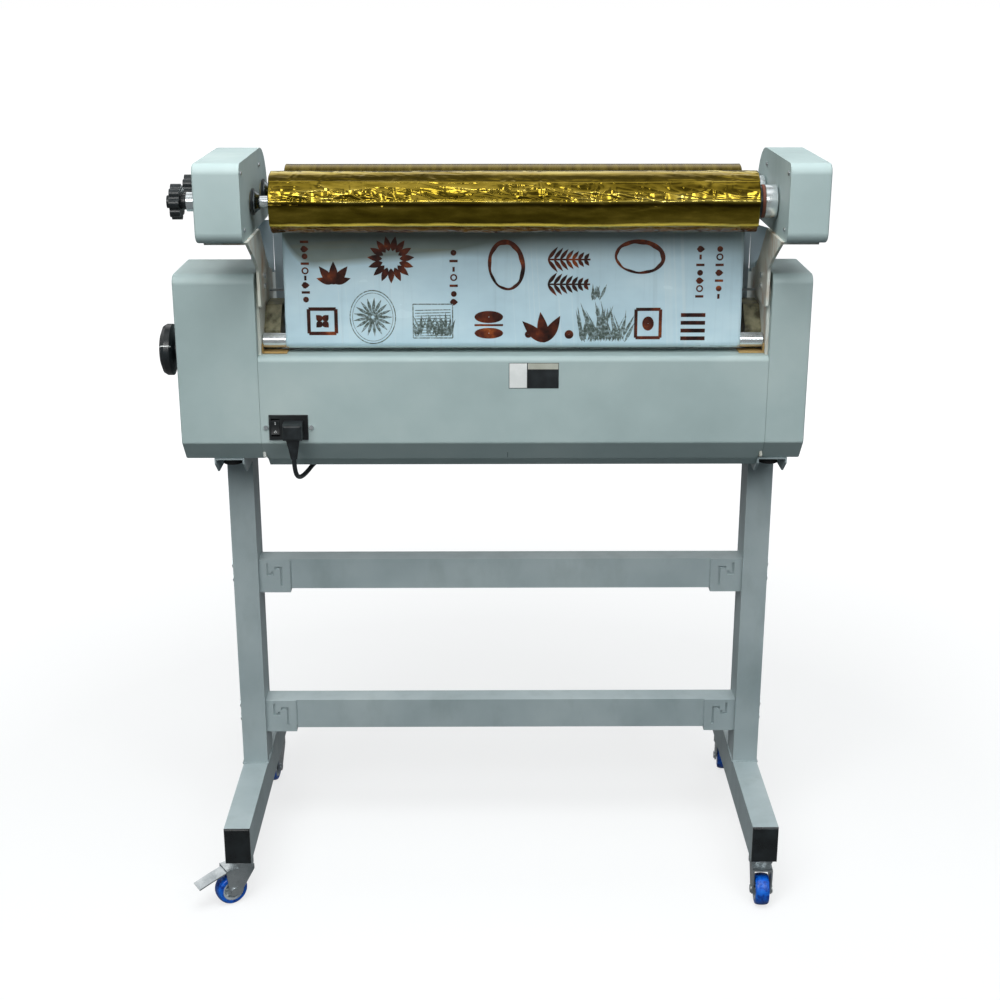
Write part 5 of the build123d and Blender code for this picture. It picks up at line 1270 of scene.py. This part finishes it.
class StamperMarks(bpy.types.Operator):
    """The pressure knob's line, the rocker's and keys' signs, and the display's figures"""

    bl_idname = "stamper.marks"
    bl_label = "Marks"

    def execute(self, context):
        self.knob_line()
        self.rocker_marks()
        self.key_signs()
        self.figures()
        return {"FINISHED"}

    @staticmethod
    def knob_line():
        """A white line across the knob's rim and dome."""
        centre, rim = middle("pressure_knob"), half_size("pressure_knob", "z") / MM
        centre.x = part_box("pressure_knob")[1].x + 1 * MM
        angle, half = math.radians(160), 0.9 * MM
        out = Vector((0, math.cos(angle), math.sin(angle)))
        over = Vector((0, -math.sin(angle), math.cos(angle)))
        dome = profile(0, [(-15.2, rim - 5.6), (-17.2, rim + 0.15), (-24.8, rim + 0.15), (-29.8, rim - 2.8),
                           (-33.3, rim - 11.8)])
        points = [centre + X_AXIS * x + out * r + over * way for x, r in dome for way in (-half, half)]
        line = mesh_object("knob_line", points, strip_faces(len(dome)), "white_vinyl", smooth=False, tidy=False)
        place_on(gauged(line, 0.3 * MM), "pressure_gear")

    @staticmethod
    def rocker_marks():
        """A white bar for on and a ring for off."""
        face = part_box("rocker_switch")[0].y
        x, _y, z = middle("rocker_switch")
        bar = slab((x - 0.5 * MM, face + 1.2 * MM, z + 4.5 * MM), (x + 0.5 * MM, face + 3.6 * MM, z + 8.5 * MM))
        place_on(mesh_object("rocker_on_mark", *bar, "white_vinyl", smooth=False), "rocker")
        ring = profile(0, [(0, 1.3), (0, 1.9), (2.6, 1.9), (2.6, 1.3)])
        spot = (x, face + 0.6 * MM, z - 6.5 * MM)
        place_on(turned_piece("rocker_off_mark", ring, spot, "white_vinyl", Y_AXIS, 24), "rocker")

    @staticmethod
    def slope(node):
        """Middle of a panel piece, its height outwards to the face, the face's points, and the
        slope's up and outward ways."""
        mid = middle(node)
        _spot, inward = joint_place("run_key_press")
        out = -inward
        up = Vector((0, -out.z, out.y)) * (1 if out.y > 0 else -1)
        points = [Vector(v.co) for v in frame["nodes"][node].data.vertices]
        face = max((p - mid).dot(out) for p in points)
        return mid, face, [p for p in points if (p - mid).dot(out) > face - 0.1 * MM], up, out

    def key_signs(self):
        """A printed sign on each key: a ring for run, and arrows for up and down."""
        for node, way in (("run_key", 0), ("up_key", 1), ("down_key", -1)):
            mid, face, _points, up, out = self.slope(node)
            spot = mid + out * face
            if way:
                flat = [spot + X_AXIS * (a * MM) + up * (b * way * MM)
                        for a, b in ((0, 2.6), (-3.0, -2.2), (3.0, -2.2))]
                sign = mesh_object(node + "_sign", *self.sign(flat, out, 0.15 * MM), "sign_print", smooth=False)
            else:
                ring = profile(0, [(-0.05, 1.7), (-0.05, 2.6), (0.15, 2.6), (0.15, 1.7)])
                sign = turned_piece(node + "_sign", ring, spot, "sign_print", out, 32)
            place_on(sign, node)

    @staticmethod
    def sign(outline, out, proud):
        """A flat shape that stands proud of a face and is sunk 0.05 mm in it."""
        return prism([p - out * (0.05 * MM) for p in outline], [p + out * proud for p in outline])

    def figures(self):
        """Three generic seven-segment figures in the window."""
        _mid, _face, window, up, out = self.slope("display_window")
        centre = sum(window, Vector()) / len(window)
        wide, tall, bar = 8.5, 17.0, 1.7
        lit = {"1": "bc", "2": "abged", "0": "abcdef"}
        places = {"a": (0, 1, True), "g": (0, 0, True), "d": (0, -1, True), "b": (1, 0.5, False),
                  "c": (1, -0.5, False), "f": (-1, 0.5, False), "e": (-1, -0.5, False)}
        parts = []
        for number, figure in enumerate("120"):
            for name in lit[figure]:
                across, high, flat = places[name]
                u = (number - 1) * 15 + across * wide / 2
                v = high * tall / 2
                a, b = (wide / 2 - bar * 0.6, bar / 2) if flat else (bar / 2, tall / 4 - bar * 0.6)
                spots = [centre - X_AXIS * ((u + x) * MM) + up * ((v + y) * MM)
                         for x, y in ((-a, -b), (a, -b), (a, b), (-a, b))]
                parts.append(self.sign(spots, out, 0.08 * MM))
        place_on(mesh_object("display_figures", *gathered(*parts), "red_segments", smooth=False), "machine")


def run_nodes(tree_name, build, carrier, inputs):
    """Run a Geometry Nodes tree on a carrier object and keep the result as a plain mesh."""
    tree = bpy.data.node_groups.new(tree_name, "GeometryNodeTree")
    tree.interface.new_socket("Geometry", in_out="INPUT", socket_type="NodeSocketGeometry")
    sockets = {}
    for name, (kind, _value) in inputs.items():
        sockets[name] = tree.interface.new_socket(name, in_out="INPUT", socket_type=kind).identifier
    tree.interface.new_socket("Geometry", in_out="OUTPUT", socket_type="NodeSocketGeometry")
    entry = tree.nodes.new("NodeGroupInput")
    leave = tree.nodes.new("NodeGroupOutput")
    tree.links.new(build(tree, entry.outputs), leave.inputs[0])
    modifier = carrier.modifiers.new(tree_name, "NODES")
    modifier.node_group = tree
    for name, (_kind, value) in inputs.items():
        modifier[sockets[name]] = value
    return baked(carrier)


class StamperFasteners(bpy.types.Operator):
    """Pan-head screws with a cross recess, set on every wall that carries them"""

    bl_idname = "stamper.fasteners"
    bl_label = "Screws"

    def execute(self, context):
        self.set_out("wall_screws", self.places(), context.scene.stamper_sizes.screw_diameter)
        return {"FINISHED"}

    @staticmethod
    def places():
        """Where each screw sits and which way it faces. Rows are millimetres from a corner."""
        spots = []

        def screws(x, y, z, way, rows):
            spots.extend((Vector((x, y + dy * MM, z + dz * MM)), way) for dy, dz in rows)

        box_low, box_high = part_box("reel_boxes")
        arm_low, arm_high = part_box("side_frames")
        box_wall = 371 * MM
        for side in (-1, 1):
            inward = -side * X_AXIS
            screws(WEB_X + side * box_wall, box_low.y, box_high.z, inward,
                   ((14, -14), (24, -92), (190, -22), (250, -90)))
            screws(WEB_X + side * FRAME_IN, arm_low.y, arm_high.z, inward, ((214, -140), (330, -190)))
        for x in (-330, -110, 110, 330):
            screws(WEB_X + x * MM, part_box("front_cover")[1].y, COVER_HIGH.z, Y_AXIS, ((0, -22),))
        for node, side in (("left_housing", -1), ("right_housing", 1)):
            low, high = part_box(node)
            face = low.x if side < 0 else high.x - 2 * MM
            screws(face, low.y, low.z, side * X_AXIS, ((24, 50), (24, 250), (340, 50), (250, 190)))
        return spots

    @staticmethod
    def head():
        """One pan head, its face along +Z, a cross recess cut in its crown; unit diameter."""
        count = 16
        rings = [[(z, r)] * count for z, r in ((0.0, 0.5), (0.12, 0.5), (0.24, 0.44), (0.31, 0.33), (0.33, 0.2))]
        rings.append([(0.325, 0.19) if k % 4 == 0 else (0.3, 0.045) for k in range(count)])
        points = [(r * math.cos(a), r * math.sin(a), z) for ring in rings for a, (z, r) in zip(full_turn(count), ring)]
        last = len(points) - count
        faces = ring_faces(range(0, last + 1, count), count)
        pit, foot = len(points), len(points) + 1
        faces += [(last + k, last + (k + 1) % count, pit) for k in range(count)]
        faces += [(foot, (k + 1) % count, k) for k in range(count)]
        return [*points, (0, 0, 0.14), (0, 0, 0)], faces

    def set_out(self, name, spots, size):
        """Set a head on each spot, turned at random about its own axis."""
        carrier = mesh_object(name, [s for s, _way in spots], [], "bearing_steel", tidy=False)
        facing = carrier.data.attributes.new("facing", "FLOAT_VECTOR", "POINT")
        facing.data.foreach_set("vector", [c for _s, way in spots for c in way])
        head = mesh_object("screw_head", *self.head(), "zinc_plate")

        def build(tree, given):
            model = add(tree, "GeometryNodeObjectInfo", {"Object": given["Head"]}).outputs["Geometry"]
            way = add(tree, "GeometryNodeInputNamedAttribute", {"Name": "facing"}, data_type="FLOAT_VECTOR")
            turn = add(tree, "FunctionNodeAlignRotationToVector", {"Vector": way.outputs[0]}, axis="Z")
            spin = add(tree, "FunctionNodeRandomValue", {2: 0.0, 3: math.pi, "Seed": given["Seed"]})
            angle = add(tree, "FunctionNodeAxisAngleToRotation", {"Axis": (0, 0, 1), "Angle": spin.outputs[1]})
            both = add(tree, "FunctionNodeRotateRotation", {"Rotation": turn.outputs[0], "Rotate By": angle.outputs[0]},
                       rotation_space="LOCAL")
            points = add(tree, "GeometryNodeMeshToPoints", {"Mesh": given["Geometry"]}).outputs[0]
            heads = add(tree, "GeometryNodeInstanceOnPoints", {"Points": points, "Instance": model,
                                                               "Rotation": both.outputs[0], "Scale": given["Size"]})
            solid = add(tree, "GeometryNodeRealizeInstances", {"Geometry": heads.outputs[0]})
            return add(tree, "GeometryNodeSetMaterial", {"Geometry": solid.outputs[0],
                                                         "Material": given["Material"]}).outputs[0]

        inputs = {"Head": ("NodeSocketObject", head), "Size": ("NodeSocketFloat", size),
                  "Seed": ("NodeSocketInt", 7), "Material": ("NodeSocketMaterial", MATERIALS["zinc_plate"])}
        piece = run_nodes(name, build, carrier, inputs)
        bpy.data.objects.remove(head)
        place_on(piece, "machine")


class StamperWelds(bpy.types.Operator):
    """Rippled weld beads where the stand's tubes and brackets join"""

    bl_idname = "stamper.welds"
    bl_label = "Welds"

    def execute(self, context):
        self.beads(self.seams(), context.scene.stamper_sizes.weld_pitch)
        return {"FINISHED"}

    @staticmethod
    def seams():
        """The joints to be welded, as edges."""
        points, edges = [], []

        def seam(a, b):
            points.extend((a, b))
            edges.append((len(points) - 2, len(points) - 1))

        low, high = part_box("crossbars")
        foot_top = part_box("stand_legs")[0].z + 60 * MM
        y0, y1 = low.y - 9 * MM, low.y + 51 * MM
        for upright in (WEB_X - 428 * MM, WEB_X + 392 * MM):
            for x in (upright - 20 * MM, upright + 20 * MM):
                seam((x, y0, foot_top), (x, y1, foot_top))
            for y in (y0, y1):
                seam((upright - 18 * MM, y, foot_top), (upright + 18 * MM, y, foot_top))
        for bar_top in (low.z + 56 * MM, high.z):
            for x in (low.x + 50 * MM, high.x - 50 * MM):
                seam((x, low.y + 3 * MM, bar_top - 4 * MM), (x, low.y + 3 * MM, bar_top - 46 * MM))
        mesh = bpy.data.meshes.new("stand_welds")
        mesh.from_pydata(points, edges, [])
        mesh.materials.append(MATERIALS["weld"])
        return linked("stand_welds", mesh)

    @staticmethod
    def beads(carrier, pitch):
        """Overlapping drops of uneven size along each edge."""
        def build(tree, given):
            line = add(tree, "GeometryNodeMeshToCurve", {"Mesh": given["Geometry"]}).outputs[0]
            points = add(tree, "GeometryNodeCurveToPoints", {"Curve": line, "Length": given["Pitch"]}, mode="LENGTH")
            drop = add(tree, "GeometryNodeMeshIcoSphere", {"Radius": given["Throat"], "Subdivisions": 2}).outputs[0]
            vary = add(tree, "FunctionNodeRandomValue", {2: 0.8, 3: 1.15, "Seed": given["Seed"]})
            row = add(tree, "GeometryNodeInstanceOnPoints", {"Points": points.outputs[0], "Instance": drop,
                                                             "Scale": vary.outputs[1]})
            solid = add(tree, "GeometryNodeRealizeInstances", {"Geometry": row.outputs[0]}).outputs[0]
            smooth = add(tree, "GeometryNodeSetShadeSmooth", {"Geometry": solid}).outputs[0]
            return add(tree, "GeometryNodeSetMaterial", {"Geometry": smooth, "Material": given["Material"]}).outputs[0]

        inputs = {"Pitch": ("NodeSocketFloat", pitch), "Throat": ("NodeSocketFloat", 2.1 * MM),
                  "Seed": ("NodeSocketInt", 3), "Material": ("NodeSocketMaterial", MATERIALS["weld"])}
        place_on(run_nodes("stand_welds", build, carrier, inputs), "machine")


class StamperLedges(bpy.types.Operator):
    """The small tan brackets under the ends of the guide roller"""

    bl_idname = "stamper.ledges"
    bl_label = "Guide ledges"

    def execute(self, context):
        for side, tag in ((-1, "left"), (1, "right")):
            edge, z = WEB_X + side * (FRAME_IN - 0.1 * MM), COVER_HIGH.z + 0.6 * MM
            flat_x, lip_x = (sorted((edge, edge - side * wide * MM)) for wide in (37, 1.6))
            flat = slab((flat_x[0], GUIDE.y - 14 * MM, z), (flat_x[1], GUIDE.y + 12 * MM, z + 1.6 * MM))
            lip = slab((lip_x[0], GUIDE.y - 14 * MM, z + 1 * MM), (lip_x[1], GUIDE.y - 6 * MM, z + 14 * MM))
            piece = mesh_object("guide_ledge_" + tag, *gathered(flat, lip), "brass_bracket", smooth=False)
            place_on(bevelled(piece, 0.4 * MM, 2), "machine")
        return {"FINISHED"}


class StamperCheeks(bpy.types.Operator):
    """Fixed sheet cheeks that carry on the guard's line past the arms, seated on the housings"""

    bl_idname = "stamper.cheeks"
    bl_label = "Guard cheeks"

    def execute(self, context):
        low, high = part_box("guard")
        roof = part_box("left_housing")[1].z
        y0, thick = low.y + 2 * MM, 1.6 * MM
        for side, tag, rise in ((-1, "left", 5), (1, "right", -8)):
            outline = [(x, roof - drop * MM) for x, drop in
                       ((366.6, 26), (370.3, 26), (370.3, 20), (375.4, 20), (375.4, 11.5), (402, 11.5))]
            outline += [(x, high.z + lift * MM) for x, lift in ((402, rise - 14), (394, rise), (366.6, max(rise, 0)))]
            sheet = prism(*([(WEB_X + side * x * MM, y, z) for x, z in outline] for y in (y0, y0 + thick)))
            x0, x1 = sorted((WEB_X + side * 376 * MM, WEB_X + side * 402 * MM))
            foot = slab((x0, y0, roof - 12.6 * MM), (x1, y0 + 14 * MM, roof - 10.4 * MM))
            piece = mesh_object("guard_cheek_" + tag, *gathered(sheet, foot), "guard_paint", smooth=False)
            place_on(bevelled(piece, 0.3 * MM, 2), "machine")
        return {"FINISHED"}


class StamperPanel(bpy.types.Panel):
    """Lists the pieces and their settings in the sidebar"""

    bl_idname = "VIEW3D_PT_stamper"
    bl_label = "Hot Foil Stamper"
    bl_space_type = "VIEW_3D"
    bl_region_type = "UI"
    bl_category = "Stamper"

    def draw(self, context):
        for group in (context.scene.stamper_sizes, context.scene.stamper_colours):
            for name in group.__annotations__:
                self.layout.prop(group, name)
        for operator in OPERATORS:
            self.layout.operator(operator.bl_idname)


OPERATORS = (StamperFinishes, StamperStage, StamperMainsLead, StamperCasterWheels, StamperReels, StamperFilm,
             StamperChucks, StamperCoverPlate, StamperMarks, StamperFasteners, StamperWelds, StamperLedges,
             StamperCheeks)
CLASSES = (StamperSizes, StamperColours, *OPERATORS, StamperPanel)


def register():
    for cls in CLASSES:
        bpy.utils.register_class(cls)
    bpy.types.Scene.stamper_sizes = bpy.props.PointerProperty(type=StamperSizes)
    bpy.types.Scene.stamper_colours = bpy.props.PointerProperty(type=StamperColours)


def unregister():
    del bpy.types.Scene.stamper_colours
    del bpy.types.Scene.stamper_sizes
    for cls in reversed(CLASSES):
        bpy.utils.unregister_class(cls)


def main():
    register()
    for operator in OPERATORS:
        group, name = operator.bl_idname.split(".")
        getattr(getattr(bpy.ops, group), name)()


if __name__ == "__main__":
    main()
